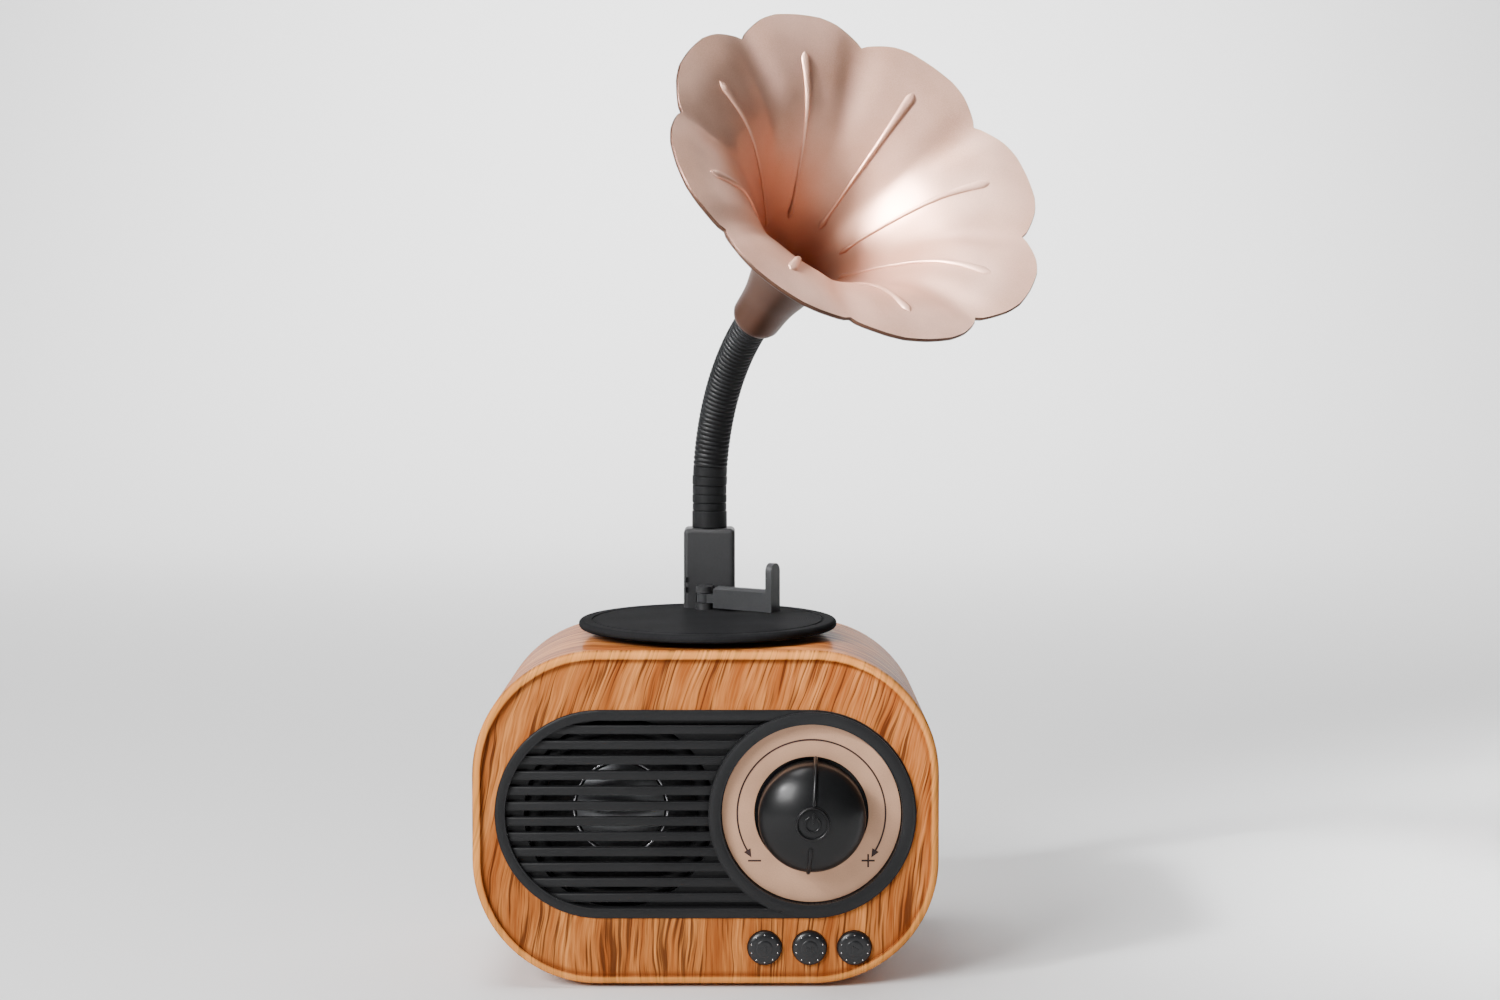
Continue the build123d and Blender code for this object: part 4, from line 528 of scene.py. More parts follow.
@dataclass(frozen=True)
class Pearl(Finish):
    """Pearlescent metallic paint with a fine flake, with painted shade darkening it towards the throat of the bell.
    """

    flake: Colour
    throat_shade: Colour
    origin: tuple[float, float, float]
    way: tuple[float, float, float]
    throat_shade_reach: Point = (0.006, 0.038)

    def build(self, graph: Graph) -> None:
        """Flake in the colour and gloss, and painted shade towards the throat by the distance from the bell's axis.
        """
        fine = graph.noise(graph.place, 3800.0, 2.0, 0.7)
        cloud = graph.noise(graph.place, 55.0, 3.0)
        share = graph.range(graph.plus(graph.times(fine, 0.6), cloud), 0.55, 1.05)
        petal = graph.mixed(share, self.colour, self.flake)
        arm = graph.vectors("SUBTRACT", graph.place, self.origin)
        radius = graph.length(graph.vectors("CROSS_PRODUCT", arm, self.way))
        # painted shade: the petal colour darkens to the throat colour near the bell's axis
        graph.feed("Base Color", graph.mixed(graph.range(radius, *self.throat_shade_reach), self.throat_shade, petal))
        graph.feed("Roughness", graph.range(fine, 0.3, 0.7, 0.34, 0.44))
        graph.set(Metallic=0.6)
        graph.bump(fine, 0.000012, 0.6)


@dataclass(frozen=True)
class Metal(Finish):
    """Bare or plated metal, from blasted to polished, with fine marks."""

    rough: float = 0.25
    grain: float = 1800.0
    depth: float = 0.000006
    metallic: float = 1.0

    def build(self, graph: Graph) -> None:
        """Fine marks in the gloss and the surface."""
        fine = graph.noise(graph.place, self.grain, 4.0, 0.65)
        cloud = graph.noise(graph.place, 90.0, 2.0)
        dark = tuple(c * 0.86 for c in self.colour)
        light = tuple(min(1.0, c * 1.1) for c in self.colour)
        graph.feed("Base Color", graph.mixed(graph.range(graph.plus(cloud, fine), 0.75, 1.25), dark, light))
        graph.feed("Roughness", graph.range(fine, 0.25, 0.75, self.rough * 0.8, self.rough * 1.25))
        graph.set(Metallic=self.metallic)
        graph.bump(fine, self.depth)


@dataclass(frozen=True)
class Fibrous(Finish):
    """Pressed paper cone with short fibres."""

    def build(self, graph: Graph) -> None:
        """Fibres in the colour and the surface."""
        fibre = graph.noise(graph.stretched(graph.place, (900.0, 2400.0, 1400.0)), 1.0, 4.0, 0.7)
        light = tuple(c * 1.6 + 0.01 for c in self.colour)
        graph.feed("Base Color", graph.mixed(graph.range(fibre, 0.35, 0.7), self.colour, light))
        graph.set(Roughness=0.8)
        graph.bump(fibre, 0.00005)


@dataclass(frozen=True)
class BoardLacquer(Finish):
    """Circuit board lacquer over faint copper tracks."""

    track: Colour

    def build(self, graph: Graph) -> None:
        """Square-cornered tracks under a half-gloss lacquer."""
        feeds = {"Vector": graph.place, "Scale": 260.0}
        cells = graph.add("ShaderNodeTexVoronoi", feeds, feature="F1", distance="CHEBYCHEV").outputs["Distance"]
        wave = graph.maths("SINE", graph.times(cells, 18.0))
        lines = graph.range(wave, 0.2, 0.5)
        graph.feed("Base Color", graph.mixed(lines, self.colour, self.track))
        graph.feed("Roughness", graph.range(lines, 0.0, 1.0, 0.3, 0.38))
        graph.bump(lines, 0.00003)


class Coatings:
    """The finishes of this loudspeaker."""

    # wood print; its lip colour is a painted highlight and its hollow ring is painted shade
    wood = WoodPrint(
        "wood_print", (0.37, 0.108, 0.025), light=(0.68, 0.262, 0.070), streak=(0.20, 0.042, 0.008),
        pore=(0.050, 0.011, 0.005), lip_highlight=(0.95, 0.40, 0.09),
    )
    panel = Moulded("black_satin", (0.0105, 0.0107, 0.0115), rough=0.42, ior=1.3)
    knob = Moulded(
        "knob_black", (0.0045, 0.0047, 0.0052), rough=0.36, ior=1.3, grain=3200.0, depth=0.00001, coat=0.12
    )
    button = Moulded("button_black", (0.009, 0.0093, 0.0105), rough=0.33, grain=3200.0, depth=0.00001, coat=0.15)
    platter = Grooved("record_black", (0.014, 0.0142, 0.015), rough=0.45, ior=1.01)
    post = Moulded("post_black", (0.020, 0.020, 0.0212), rough=0.5, grain=1700.0, depth=0.00004)
    arm = Moulded("arm_black", (0.024, 0.0245, 0.026), rough=0.4, grain=2200.0)
    sleeve = Moulded("neck_sleeve", (0.0062, 0.0064, 0.007), rough=0.46, grain=2600.0, ior=1.25)
    # rose champagne paint; its throat colour is painted shade
    horn = Pearl(
        "rose_champagne", (0.66, 0.36, 0.25), flake=(0.92, 0.58, 0.445), throat_shade=(0.56, 0.26, 0.165),
        origin=(0.011649, 0.005906, 0.157575), way=(0.41048, -0.70106, 0.58312),
    )
    # painted shade: the bell's outer side takes this darker copy of the horn colour
    horn_back_shade = Metal("copper_brown_shade", (0.065, 0.026, 0.014), rough=0.42, grain=3800.0, depth=0.00001, metallic=0.6)
    dial = Metal("champagne_blasted", (0.58, 0.34, 0.215), rough=0.5, grain=3000.0, depth=0.00002, metallic=0.55)
    print_dark = Moulded("dial_print", (0.030, 0.012, 0.010), rough=0.5)
    rubber = Moulded("soft_rubber", (0.014, 0.014, 0.015), rough=0.7, grain=1500.0, depth=0.00004)
    steel = Metal("bright_steel", (0.62, 0.62, 0.63), rough=0.24)
    chrome = Metal("polished_trim", (0.5, 0.5, 0.52), rough=0.16, depth=0.000002)
    iron = Metal("magnet_iron", (0.12, 0.12, 0.13), rough=0.42)
    paper = Fibrous("cone_paper", (0.014, 0.014, 0.015))
    cap = Metal("silver_cap", (0.22, 0.225, 0.235), rough=0.34)
    nylon = Moulded("white_nylon", (0.72, 0.71, 0.67), rough=0.45)
    board = BoardLacquer("board_lacquer", (0.010, 0.055, 0.026), track=(0.018, 0.10, 0.045))
    chip = Moulded("chip_black", (0.020, 0.020, 0.021), rough=0.55)
    cell = Moulded("cell_sleeve", (0.03, 0.11, 0.26), rough=0.32, depth=0.000008)
    lead = Moulded("lead_insulation", (0.42, 0.030, 0.024), rough=0.38)
    bead = Metal("bead_bright", (0.80, 0.81, 0.83), rough=0.18)


def dress(finish: Finish, *nodes: str) -> None:
    """Gives the frame's own pieces a finish.

    Args:
        finish: the finish.
        nodes: the pieces' names.
    """
    for name in nodes:
        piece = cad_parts[name]
        if not piece.material_slots:
            piece.data.materials.append(finish.material())
        for slot in piece.material_slots:
            slot.material = finish.material()
        LOG.info("%s: %s", name, finish.name)


def middle(node: str) -> Vector:
    """Middle of a node of the frame, in millimetres."""
    low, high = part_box(node)
    return (low + high) / (2 * MM)


# ------------------------------------------------------------------ studio
@dataclass
class Softbox:
    """One square soft light."""

    name: str
    place: tuple[float, float, float]
    side: float
    power: float
    aim: tuple[float, float, float] = (0.0, 0.0, 0.12)
    spread: float = 180.0

    def hang(self) -> None:
        """Puts the light up."""
        data = bpy.data.lights.new(self.name, "AREA")
        data.shape, data.size, data.energy = "SQUARE", self.side, self.power
        data.spread = math.radians(self.spread)
        light = bpy.data.objects.new(self.name, data)
        light.location = self.place
        light.rotation_euler = (Vector(self.aim) - Vector(self.place)).to_track_quat("-Z", "Y").to_euler()
        bpy.context.scene.collection.objects.link(light)


LIGHTS = (
    Softbox("key", (-0.62, -0.72, 0.62), 0.45, 17.0),
    Softbox("overhead", (-0.2, -0.05, 1.1), 0.5, 8.0),
    Softbox("horn_light", (-0.50, -0.42, 0.60), 0.18, 0.88, (0.080, -0.050, 0.210), 18.0),
    Softbox("front_fill", (0.6, -1.2, 0.25), 0.5, 0.5),
    Softbox("rear", (0.5, 0.7, 0.6), 0.4, 1.5),
    Softbox("wall_wash", (0.0, 0.9, 1.7), 1.2, 26.0, (0.0, 1.9, 0.2), 90.0),
)


@dataclass
class Studio:
    """Pale floor that sweeps up behind, soft lights, and the camera."""

    camera_place: tuple[float, float, float] = (0.010, -0.561, 0.1555)
    pitch: float = 2.43
    yaw: float = -0.05
    shift: float = -0.05
    lens: float = 54.36
    sensor: float = 36.0
    air: Colour = (0.92, 0.95, 1.0)
    air_strength: float = 0.06
    paper: float = 0.93
    sweep_start: float = 1.0
    sweep_radius: float = 0.8
    wall_top: float = 3.0
    half_width: float = 4.0

    def build(self) -> None:
        """Makes the floor, the lights, the surroundings and the camera."""
        self.backdrop()
        for box in LIGHTS:
            box.hang()
        world = bpy.data.worlds.new("studio_air")
        world.use_nodes = True
        glow = world.node_tree.nodes["Background"]
        glow.inputs["Color"].default_value = (*self.air, 1.0)
        glow.inputs["Strength"].default_value = self.air_strength
        bpy.context.scene.world = world
        data = bpy.data.cameras.new("camera")
        data.lens, data.sensor_width, data.clip_start, data.shift_y = self.lens, self.sensor, 0.01, self.shift
        camera = bpy.data.objects.new("camera", data)
        camera.location = self.camera_place
        camera.rotation_euler = (math.radians(90 - self.pitch), 0, math.radians(self.yaw))
        bpy.context.scene.collection.objects.link(camera)
        bpy.context.scene.camera = camera

    def backdrop(self) -> None:
        """Floor and wall in one sheet with a wide sweep between them."""
        sheet = bmesh.new()
        side = self.half_width
        front = sheet.edges.new([sheet.verts.new(spot) for spot in ((-side, -side, 0), (side, -side, 0))])
        made = bmesh.ops.extrude_edge_only(sheet, edges=[front])["geom"]
        verts = [item for item in made if isinstance(item, bmesh.types.BMVert)]
        bmesh.ops.translate(sheet, vec=(0, side + self.sweep_start, 0), verts=verts)
        last = [edge for edge in sheet.edges if all(vert in verts for vert in edge.verts)]
        swept = bmesh.ops.spin(
            sheet, geom=verts + last, cent=(0, self.sweep_start, self.sweep_radius), axis=(1, 0, 0),
            angle=math.radians(90), steps=24,
        )["geom_last"]
        edges = [e for e in swept if isinstance(e, bmesh.types.BMEdge)]
        made = bmesh.ops.extrude_edge_only(sheet, edges=edges)["geom"]
        verts = [item for item in made if isinstance(item, bmesh.types.BMVert)]
        bmesh.ops.translate(sheet, vec=(0, 0, self.wall_top), verts=verts)
        for face in sheet.faces:
            face.smooth = True
        data = bpy.data.meshes.new("backdrop")
        sheet.to_mesh(data)
        sheet.free()
        material = bpy.data.materials.new("backdrop_paper")
        material.use_nodes = True
        shader = material.node_tree.nodes["Principled BSDF"]
        shader.inputs["Base Color"].default_value = (self.paper, self.paper, self.paper, 1.0)
        shader.inputs["Roughness"].default_value = 0.8
        data.materials.append(material)
        backdrop = bpy.data.objects.new("backdrop", data)
        bpy.context.scene.collection.objects.link(backdrop)


# ------------------------------------------------------------------ cabinet and front
@dataclass
class Cabinet:
    """Wood-print tub and cover with what is fixed to them."""

    shell: tuple[str, ...] = ("front_housing", "rear_cover")
    foot: str = "rubber_foot"
    screws: str = "rear_screws"

    def build(self) -> None:
        """Dresses the shell, its foot and its screws."""
        dress(Coatings.wood, *self.shell)
        dress(Coatings.rubber, self.foot)
        dress(Coatings.steel, self.screws)


@dataclass
class FrontPanel:
    """Black stadium panel: rounded rim, slats and the ring round the dial."""

    width: float = 99.3
    height: float = 49.4
    middle_z: float = 41.3
    front_y: float = -33.0
    rim: float = 2.4
    rim_depth: float = 0.5
    slats: int = 12
    pitch: float = 3.63
    slat_height: float = 2.04
    slat_depth: float = 1.44
    slat_back: float = 3.0
    slat_edge: float = 0.38
    slat_tuck: float = 0.5
    slat_reach: float = 0.9
    ring_outer: float = 24.3
    ring_inner: float = 21.4

    @property
    def dial_x(self) -> float:
        """How far right the dial's axis lies."""
        return (self.width - self.height) / 2

    def build(self) -> None:
        """Makes the slat fronts, rim and ring, and dresses the moulding behind them."""
        dress(Coatings.panel, "front_panel")
        dress(Coatings.chip, "mic_capsule")
        self.slat_fronts()
        self.rim_bead()

    def slat_fronts(self) -> None:
        """Rounded bars between the rim and the dial ring."""
        blank = Blank()
        window = self.height / 2 - self.rim
        for number in range(self.slats):
            rise = (number - (self.slats - 1) / 2) * self.pitch
            left = -self.dial_x - math.sqrt(window**2 - min(rise, window) ** 2) - self.slat_tuck
            right = self.dial_x - math.sqrt(self.ring_outer**2 - rise**2) + self.slat_reach
            low = Vector((left, self.front_y + self.slat_depth, self.middle_z + rise - self.slat_height / 2))
            high = Vector((right, self.front_y + self.slat_back, self.middle_z + rise + self.slat_height / 2))
            blank.add(block(low, high, self.slat_edge))
        piece = blank.piece("slat_fronts", Coatings.panel)
        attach(piece, "cabinet")

    def rim_bead(self) -> None:
        """Rounded front of the rim, and the proud ring round the dial."""
        blank = Blank()
        outer, inner = self.height / 2 + 0.02, self.height / 2 - self.rim - 0.02
        face = -self.rim_depth + 0.05
        section = [
            (inner, -2.4), (inner, face - 0.45), (inner + 0.13, face - 0.13), (inner + 0.45, face),
            (outer - 0.5, face), (outer - 0.15, face - 0.15), (outer, face - 0.45), (outer, -1.4),
        ]
        blank.add(
            rolled(section, 160, self.dial_x), standing(0, self.front_y, self.middle_z, Axis.FORWARD)
        )
        face = 0.05
        section = [
            (self.ring_inner, -2.9), (self.ring_inner, face - 0.5), (self.ring_inner + 0.15, face - 0.15),
            (self.ring_inner + 0.5, face), (self.ring_outer - 0.55, face), (self.ring_outer - 0.17, face - 0.17),
            (self.ring_outer + 0.03, face - 0.55), (self.ring_outer + 0.03, -2.9),
        ]
        blank.add(rolled(section, 144), standing(self.dial_x, self.front_y, self.middle_z, Axis.FORWARD))
        piece = blank.piece("panel_rim", Coatings.panel)
        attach(piece, "cabinet")


@dataclass
class Driver:
    """Loudspeaker driver behind the slats, with its two bright trims."""

    x: float = -20.4
    z: float = 41.3
    cap_ring: float = 11.2
    frame_ring: float = 20.6
    wire: float = 0.3

    def build(self) -> None:
        """Dresses the driver and adds the trims."""
        dress(Coatings.panel, "driver_basket")
        dress(Coatings.iron, "driver_magnet")
        dress(Coatings.rubber, "driver_surround")
        dress(Coatings.paper, "driver_cone")
        dress(Coatings.cap, "dust_cap")
        dress(Coatings.steel, "driver_screws")
        blank = Blank()
        cap_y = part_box("dust_cap")[1].y / MM
        surround_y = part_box("driver_surround")[0].y / MM
        for radius, y in ((self.cap_ring, cap_y - 0.3), (self.frame_ring, surround_y + 0.4)):
            section = [
                (radius + self.wire * math.cos(a), 0.7 * self.wire * math.sin(a))
                for a in (math.tau * step / 10 for step in range(10))
            ]
            blank.add(rolled(section, 96), standing(self.x, y, self.z, Axis.FORWARD))
        piece = blank.piece("driver_trims", Coatings.chrome)
        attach(piece, "cabinet")


@dataclass
class VolumeDial:
    """Dial plate with its marks, and the domed knob with its finger fin and power sign."""

    x: float = 24.95
    front_y: float = -33.0
    z: float = 41.3
    radius: float = 12.6
    side_top: float = 4.0
    top: float = 10.0
    skirt: float = -3.0
    wall: float = 1.6
    hub: float = 4.5
    bore: float = 2.55
    edge: float = 0.35
    hollow_drop: float = 0.4
    hollow_ease: float = 1.4
    bore_rise: float = 0.8
    dome_lean: Point = (-1.5, 8.2)
    dome_pull: Point = (-19.0, 0.0)
    dome_steps: int = 28
    fin_from: float = 5.3
    fin_half: float = 0.5
    fin_reach: float = 0.9
    tilt: float = 4.0
    sign_ring: float = 3.65
    sign_arc: float = 1.75
    sign_wire: float = 0.27
    sign_gap: float = 32.0
    sign_turn: float = -6.0

    def place(self, turn: float = 0.0) -> Matrix:
        """Place on the dial's axis, turned by so many degrees."""
        return standing(self.x, self.front_y, self.z, Axis.FORWARD, turn)

    def dome(self) -> list[Point]:
        """The dome's line from its edge to its middle, as (radius, height)."""
        start, end = (self.radius, self.side_top), (0.0, self.top)
        line = []
        for step in range(self.dome_steps + 1):
            t = step / self.dome_steps
            a, b = 2 * t**3 - 3 * t**2 + 1, t**3 - 2 * t**2 + t
            c, d = -2 * t**3 + 3 * t**2, t**3 - t**2
            ends = zip(start, self.dome_lean, end, self.dome_pull)
            line.append(tuple(a * p + b * m + c * q + d * n for p, m, q, n in ends))
        return line

    def build(self) -> None:
        """Makes the knob and dresses the dial and the encoder."""
        dress(Coatings.dial, "dial_plate")
        dress(Coatings.print_dark, "dial_marks")
        dress(Coatings.steel, "encoder_can", "encoder_shaft")
        blank = Blank()
        dome = self.dome()
        rim, inner = self.radius - self.wall, self.side_top - self.hollow_drop
        ceiling, bore_top = self.top - self.wall - self.hollow_ease, self.top - 2 * self.wall
        foot = self.skirt + self.bore_rise
        profile = [
            *reversed(dome), (self.radius, self.skirt + self.edge), (self.radius - 0.1, self.skirt + 0.1),
            (self.radius - self.edge, self.skirt), (rim, self.skirt), (rim, inner), (self.hub, ceiling),
            (self.hub, foot), (self.bore, foot), (self.bore, bore_top), (0.0, bore_top),
        ]
        blank.add(spun(profile, 120), self.place())
        for turn, start in ((self.tilt, self.sign_ring + 0.1), (self.tilt + 180, self.fin_from)):
            blank.add(self.fin(dome, start), self.place(90 - turn))
        self.sign(blank)
        piece = blank.piece("volume_knob_dome", Coatings.knob)
        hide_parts("volume_knob")
        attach(piece, "knob")

    def fin(self, dome: list[Point], start: float) -> Shell:
        """Raised bead over half the dome and down its side.

        Args:
            dome: the dome's line.
            start: how far from the middle it begins.

        Returns:
            The bead, lying along x.
        """
        line = [(self.radius + self.fin_reach, 0.1), (self.radius + self.fin_reach * 0.55, 2.0)]
        line += [spot for spot in dome if spot[0] > start]
        places = []
        for number, (radius, height) in enumerate(line):
            near, far = line[max(0, number - 1)], line[min(len(line) - 1, number + 1)]
            way = Vector((far[0] - near[0], 0, far[1] - near[1])).normalized()
            out = Vector((way.z, 0, -way.x))
            size = self.fin_half * (0.45 if number == len(line) - 1 else 1.0)
            turn = Matrix((out, Vector((0, 1, 0)), way)).transposed().to_4x4()
            places.append(
                Matrix.Translation((radius, 0, height)) @ turn @ Matrix.Diagonal((size * 1.1, size, size, 1))
            )
        return lofted(places, 14)

    def sign(self, blank: Blank) -> None:
        """Raised ring with the power sign in it."""
        wire = self.sign_wire
        ring = [
            (self.sign_ring + 1.15 * wire * math.cos(a), self.top - 0.28 + 1.7 * wire * math.sin(a))
            for a in (math.tau * step / 12 for step in range(12))
        ]
        blank.add(rolled(ring, 72), self.place())
        places = []
        for step in range(37):
            angle = math.radians(90 + self.sign_gap + (360 - 2 * self.sign_gap) * step / 36)
            way = Matrix.Rotation(angle + math.pi / 2, 4, "Z") @ Matrix.Rotation(math.radians(90), 4, "Y")
            spot = (self.sign_arc * math.cos(angle), self.sign_arc * math.sin(angle), self.top - 0.03)
            places.append(Matrix.Translation(spot) @ way @ Matrix.Diagonal((wire, wire, wire, 1)))
        blank.add(lofted(places, 10), self.place(self.sign_turn))
        low = Vector((-wire, 0.15, self.top - 0.3))
        high = Vector((wire, self.sign_arc + 0.75, self.top + 0.22))
        blank.add(block(low, high, 0.12, 2), self.place(self.sign_turn))


class Sign(Enum):
    """What a push button says."""

    BACK = "back"
    PLAY_PAUSE = "play_pause"
    FORTH = "forth"


@dataclass
class PushButton:
    """Moulded cap of one push button: collar, beads and a raised sign."""

    node: str
    body: str
    says: Sign
    radius: float = 4.0
    front_y: float = -33.5
    sign_thickness: float = 0.3
    beads: int = 10
    bead_at: float = 3.25
    bead_size: float = 0.2
    collar: tuple[Point, ...] = (
        (2.55, -0.5), (2.55, 0.05), (2.68, 0.1548), (2.9, 0.2),
        (3.75, 0.17), (3.97, 0.03), (4.02, -0.2), (4.02, -0.7),
    )
    disc: tuple[Point, ...] = ((0.0, 0.16), (1.5, 0.13), (1.95, 0.06), (2.1, -0.06), (2.12, -0.6), (0.0, -0.6))
    dome_radius: float = 10.4

    def height(self, radius: float) -> float:
        """How far the dome has fallen this far from its middle."""
        return -radius * radius / (2 * self.dome_radius)

    def build(self) -> None:
        """Makes the cap on the button and dresses the button."""
        dress(Coatings.button, self.node)
        spot = middle(self.node)
        place = standing(spot.x, self.front_y, spot.z, Axis.FORWARD)
        blank = Blank()
        blank.add(rolled([(radius, self.height(radius) + lift) for radius, lift in self.collar], 56), place)
        blank.add(spun(list(self.disc), 40), place)
        for number in range(self.beads):
            angle = math.tau * (number + 0.5) / self.beads
            bead = bmesh.new()
            bmesh.ops.create_icosphere(bead, subdivisions=2, radius=self.bead_size)
            spot = (self.bead_at * math.cos(angle), self.bead_at * math.sin(angle), self.height(self.bead_at) + 0.22)
            blank.add(bead, place @ Matrix.Translation(spot), 1)
        for shell, where in self.signs():
            blank.add(shell, place @ where)
        piece = blank.piece(f"{self.node}_cap", Coatings.button, Coatings.bead)
        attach(piece, self.body)

    def signs(self) -> list[tuple[Shell, Matrix]]:
        """The raised sign's shells, each with its place on the cap."""
        if self.says is Sign.PLAY_PAUSE:
            bars = [
                block(Vector((x - 0.14, -0.6, 0.0)), Vector((x + 0.14, 0.6, self.sign_thickness)), 0.06, 2)
                for x in (0.35, 0.9)
            ]
            return [
                (wedge(0.68, self.sign_thickness), Matrix.Translation((-0.5, 0, 0.17))),
                *((bar, Matrix.Identity(4)) for bar in bars),
            ]
        turn = math.pi if self.says is Sign.BACK else 0.0
        place = Matrix.Translation((0, 0, 0.17)) @ Matrix.Rotation(turn, 4, "Z")
        return [(wedge(1.0, self.sign_thickness), place)]


# ------------------------------------------------------------------ record, post and arm
@dataclass
class Turntable:
    """Record-like platter with the post and what fixes them."""

    fixings: tuple[str, ...] = ("retainer", "retainer_screw", "post_screws", "neck_set_screw", "arm_pin")

    def build(self) -> None:
        """Dresses the platter, post and fixings."""
        dress(Coatings.platter, "platter")
        dress(Coatings.post, "post")
        dress(Coatings.arm, "tonearm")
        dress(Coatings.nylon, "bearing_washer")
        dress(Coatings.steel, *self.fixings)


# ------------------------------------------------------------------ gooseneck
@dataclass
class Gooseneck:
    """Sleeve over the jointed neck: a straight foot, then an even arc up to the horn."""

    base: tuple[float, float, float] = (0.0, 25.8, 104.0)
    foot: float = 8.65
    bend_radius: float = 55.3
    bend: float = 54.33
    heading: float = -59.65
    joints: int = 7
    radius: float = 4.5
    groove: float = 0.27
    ribs: int = 6
    sides: int = 48

    @property
    def link(self) -> float:
        """Length of sleeve over one joint."""
        return self.bend_radius * math.radians(self.bend / self.joints)

    def frame_at(self, along: float) -> Matrix:
        """Place on the neck's middle line.

        Args:
            along: distance from its foot.

        Returns:
            A frame whose z follows the neck and whose x lies in the bend.
        """
        turn = max(0.0, along - self.foot) / self.bend_radius
        way = Matrix.Rotation(math.radians(self.heading), 4, "Z")
        spot = Vector(
            (
                self.bend_radius * (1 - math.cos(turn)),
                0,
                min(along, self.foot) + self.bend_radius * math.sin(turn),
            )
        )
        return Matrix.Translation(self.base) @ way @ Matrix.Translation(spot) @ Matrix.Rotation(turn, 4, "Y")

    def bent(self, shell: Shell) -> Shell:
        """Lays a straight upright sleeve along the neck's line."""
        for vert in shell.verts:
            vert.co = self.frame_at(vert.co.z) @ Vector((vert.co.x, vert.co.y, 0))
        return shell

    def band(self, start: float, end: float, proud: float) -> list[Point]:
        """Profile of one smooth band with eased edges."""
        out = self.radius + proud
        return [(out - 0.18, start), (out, start + 0.2), (out, end - 0.2), (out - 0.18, end)]

    def ribbed(self, start: float, end: float) -> list[Point]:
        """Profile of the fine ribs between two distances along the neck."""
        pitch = (end - start) / self.ribs
        low, top = self.radius - self.groove, self.radius
        line = []
        for number in range(self.ribs):
            at = start + number * pitch
            line += [
                (low, at), (low + 0.04, at + 0.12 * pitch), (top - 0.06, at + 0.26 * pitch),
                (top, at + 0.42 * pitch), (top, at + 0.62 * pitch), (top - 0.06, at + 0.78 * pitch),
                (low + 0.04, at + 0.92 * pitch),
            ]
        return [*line, (low, end)]

    def sleeve(self, name: str, start: float, end: float, line: list[Point]) -> bpy.types.Object:
        """One length of sleeve with the given profile, laid along the neck."""
        blank = Blank()
        blank.add(self.bent(spun([(0.0, start), *line, (0.0, end)], self.sides)))
        return blank.piece(name, Coatings.sleeve)

    def build(self) -> None:
        """Makes the sleeve's foot, and one length of sleeve over each joint."""
        first = self.foot
        foot = [*self.band(0.1, 4.4, 0.05), *self.band(4.5, 6.4, -0.08), *self.band(6.5, first, 0.0)]
        piece = self.sleeve("neck_sleeve_foot", 0.1, first, foot)
        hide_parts("gooseneck_base")
        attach(piece, "neck_foot")
        nodes = [*(f"gooseneck_link_{number}" for number in range(1, self.joints)), "gooseneck_tip"]
        for number, node in enumerate(nodes):
            start, end = first + number * self.link, first + (number + 1) * self.link
            if number == 0:
                third = self.link / 3
                line = [
                    *self.band(start, start + third - 0.05, -0.06),
                    *self.band(start + third, start + 2 * third - 0.05, 0.03),
                    *self.band(start + 2 * third, end, -0.06),
                ]
            else:
                line = self.ribbed(start, end)
            piece = self.sleeve(f"neck_sleeve_{number + 1}", start, end, line)
            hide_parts(node)
            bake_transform(piece)


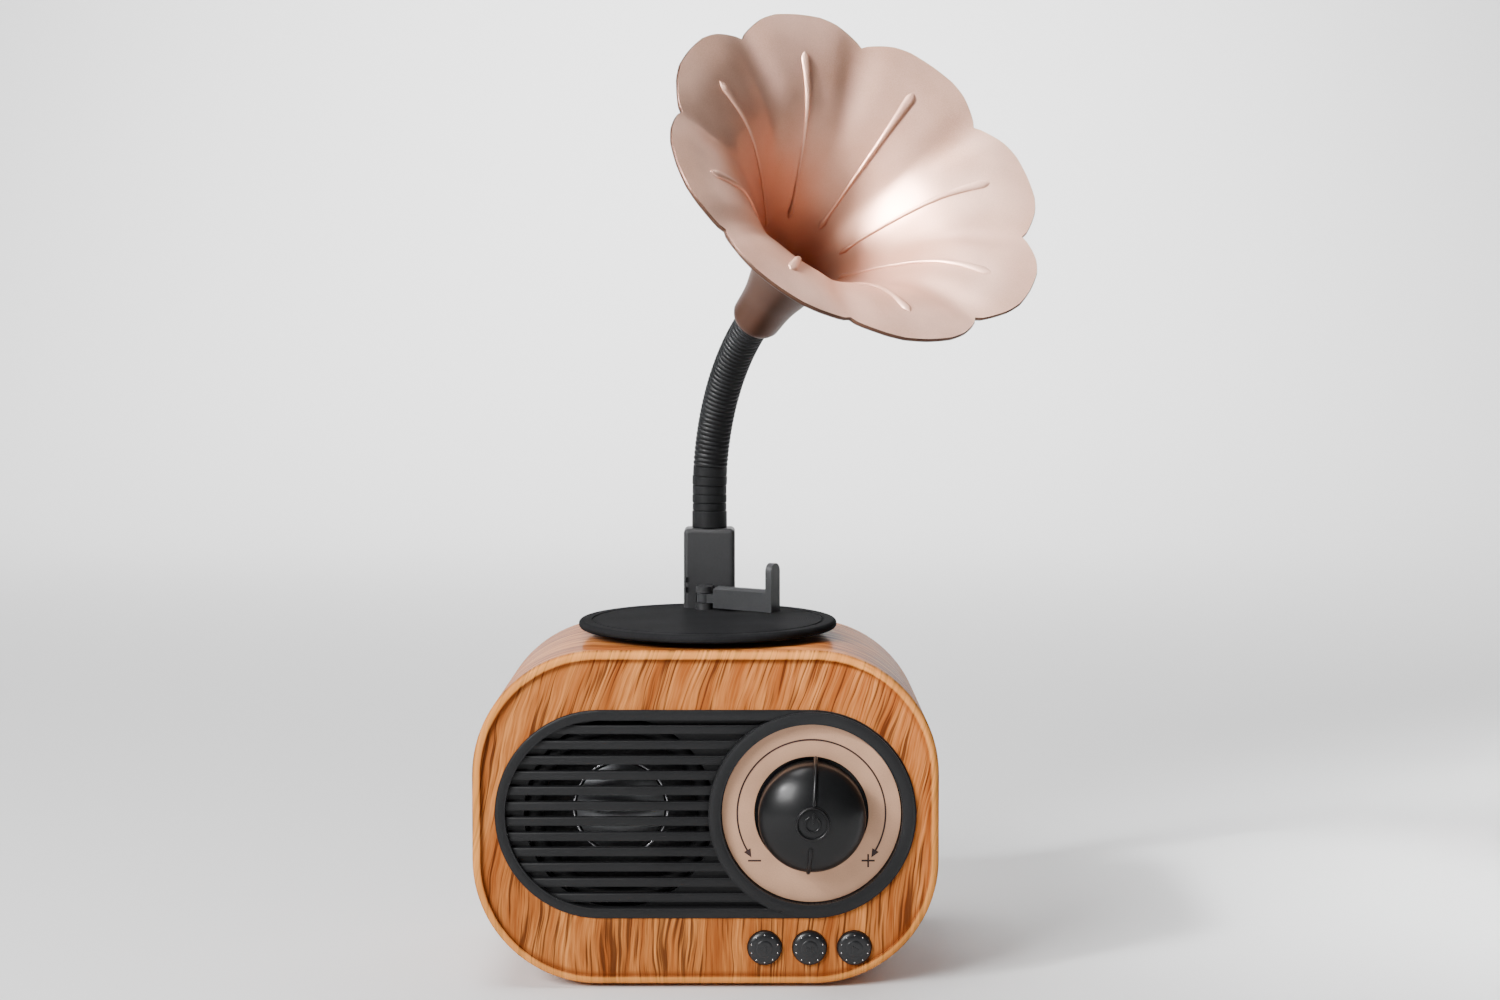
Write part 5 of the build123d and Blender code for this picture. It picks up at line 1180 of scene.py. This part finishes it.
# ------------------------------------------------------------------ horn
@dataclass
class Horn:
    """Flared bell with eight scalloped petals, a rib up each and a soft valley between them."""

    neck: Gooseneck
    petals: int = 8
    inside: tuple[Point, ...] = ((4.6, 12.0), (11.3, 29.1), (25.5, 48.8), (38.5, 56.8), (49.0, 59.7))
    outside: tuple[Point, ...] = ((6.3, 1.4), (7.4, 12.0), (12.5, 28.6), (26.4, 47.6), (38.9, 55.6), (49.0, 58.5))
    outline: tuple[Point, ...] = (
        (0.0, 43.8), (1.0, 44.2), (2.0, 44.9), (6.0, 46.1), (10.0, 47.2), (15.0, 47.9), (22.5, 48.0),
    )
    edge: float = 49.0
    edge_round: tuple[Point, ...] = ((49.25, 59.35), (49.3, 59.0))
    neck_round: tuple[Point, ...] = ((5.9, 0.45), (5.4, 0.1), (4.9, 0.0))
    scallop_from: float = 16.0
    valley: float = 1.6
    valley_width: float = 7.5
    rib_from: float = 10.6
    rib_to: float = 38.5
    rib_half: Point = (0.38, 0.95)
    rib_tall: Point = (0.42, 0.22)
    rib_bulb: float = 0.5
    rib_steps: int = 34
    steps: int = 192

    @property
    def place(self) -> Matrix:
        """The frame at the bell's neck end, with its z up the bell."""
        return self.neck.frame_at(self.neck.foot + self.neck.link * self.neck.joints)

    def off_notch(self, x: float, y: float) -> float:
        """Degrees from the nearest notch, seen along the bell."""
        turn = math.degrees(math.atan2(y, x)) % (360 / self.petals)
        return abs(180 / self.petals - turn)

    def relief(self, radius: float, off: float) -> float:
        """How far the valley between two petals drops the surface."""
        depth = eased(radius, 13.0, 36.0) * (1 - 0.35 * eased(radius, 40.0, 48.0))
        return -self.valley * depth * math.exp(-((off / self.valley_width) ** 2))

    def build(self) -> None:
        """Makes the bell and its ribs."""
        inside, outside = smooth_line(self.inside, 1.5), smooth_line(self.outside, 1.9)
        table = tuple(inside)
        profile = [
            (0.0, self.inside[0][1] + 0.02), *inside, *self.edge_round, *reversed(outside), *self.neck_round,
            (0.0, 0.0),
        ]
        bell = spun(profile, self.steps)
        for vert in bell.verts:
            radius = math.hypot(vert.co.x, vert.co.y)
            if radius < self.scallop_from * 0.7:
                continue
            off = self.off_notch(vert.co.x, vert.co.y)
            reach = between(off, self.outline) + max(0.0, radius - self.edge)
            pull = (reach - max(radius, self.edge)) * eased(radius, self.scallop_from, self.edge)
            trimmed = radius + pull
            drop = between(trimmed, table) - between(min(radius, self.edge), table)
            vert.co.x *= trimmed / radius
            vert.co.y *= trimmed / radius
            vert.co.z += drop + self.relief(trimmed, off)
        bell.normal_update()
        # outward-facing faces short of the rim take the painted shade finish of the bell's outer side
        for face in bell.faces:
            spot = face.calc_center_median()
            outward = face.normal.dot(Vector((spot.x, spot.y, 0)).normalized())
            face.material_index = int(outward > face.normal.z and spot.z < 60.5)
        blank = Blank()
        blank.add(bell, self.place, None)
        for number in range(self.petals):
            turn = Matrix.Rotation(math.tau * number / self.petals, 4, "Z")
            blank.add(self.rib(table), self.place @ turn)
        piece = blank.piece("horn_petals", Coatings.horn, Coatings.horn_back_shade, crease=60.0)
        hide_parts("horn_bell")
        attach(piece, "horn")

    def rib(self, table: tuple[Point, ...]) -> Shell:
        """Raised rib up the middle of a petal: thin at the throat, wide and blunt at its outer end.

        Args:
            table: the bell's inner line.

        Returns:
            The rib, lying along x.
        """
        places = []
        for step in range(self.rib_steps + 1):
            share = step / self.rib_steps
            radius = self.rib_from + (self.rib_to - self.rib_from) * share
            height = between(radius, table)
            slope = (between(radius + 0.6, table) - between(radius - 0.6, table)) / 1.2
            way = Vector((1, 0, slope)).normalized()
            out = Vector((-way.z, 0, way.x))
            bulb = self.rib_bulb * math.exp(-(((share - 0.02) / 0.03) ** 2))
            end = eased(1 - share, 0.0, 0.05) * 0.9 + 0.1
            half = (self.rib_half[0] + self.rib_half[1] * share**2 + bulb) * end
            tall = (self.rib_tall[0] + self.rib_tall[1] * share + bulb * 0.8) * end
            if step == 0:
                half, tall = half * 0.4, tall * 0.4
            turn = Matrix((out, Vector((0, 1, 0)), way)).transposed().to_4x4()
            places.append(Matrix.Translation((radius, 0, height)) @ turn @ Matrix.Diagonal((tall, half, 1, 1)))
        return lofted(places, 16)


# ------------------------------------------------------------------ insides
@dataclass
class Insides:
    """Boards, cell, sockets and wiring inside the cabinet."""

    boards: tuple[str, ...] = ("main_board", "port_board")
    black_parts: tuple[str, ...] = ("board_chips", "tact_switches", "audio_jack")
    bright_parts: tuple[str, ...] = ("board_screws", "port_board_screws", "usb_socket", "card_slot")
    leads: tuple[str, ...] = ("speaker_leads", "battery_leads", "port_harness")

    def build(self) -> None:
        """Dresses what only the open cabinet shows, and the sockets at the back."""
        dress(Coatings.board, *self.boards)
        dress(Coatings.chip, *self.black_parts)
        dress(Coatings.steel, *self.bright_parts)
        dress(Coatings.panel, "port_plate")
        dress(Coatings.cell, "battery_cell")
        dress(Coatings.lead, *self.leads)


def main() -> None:
    """Builds the studio and every sub-assembly, and logs the pieces left without a finish."""
    logging.basicConfig(level=logging.INFO, format="%(name)s %(message)s")
    neck = Gooseneck()
    pieces = [
        Studio(), Cabinet(), FrontPanel(), Driver(), VolumeDial(),
        PushButton("button_previous", "previous", Sign.BACK),
        PushButton("button_play", "play", Sign.PLAY_PAUSE),
        PushButton("button_next", "next", Sign.FORTH),
        Turntable(), neck, Horn(neck), Insides(),
    ]
    for piece in pieces:
        piece.build()
    undressed = [n for n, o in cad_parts.items() if not o.material_slots]
    LOG.info("without a finish: %s", undressed)


if __name__ == "__main__":
    main()
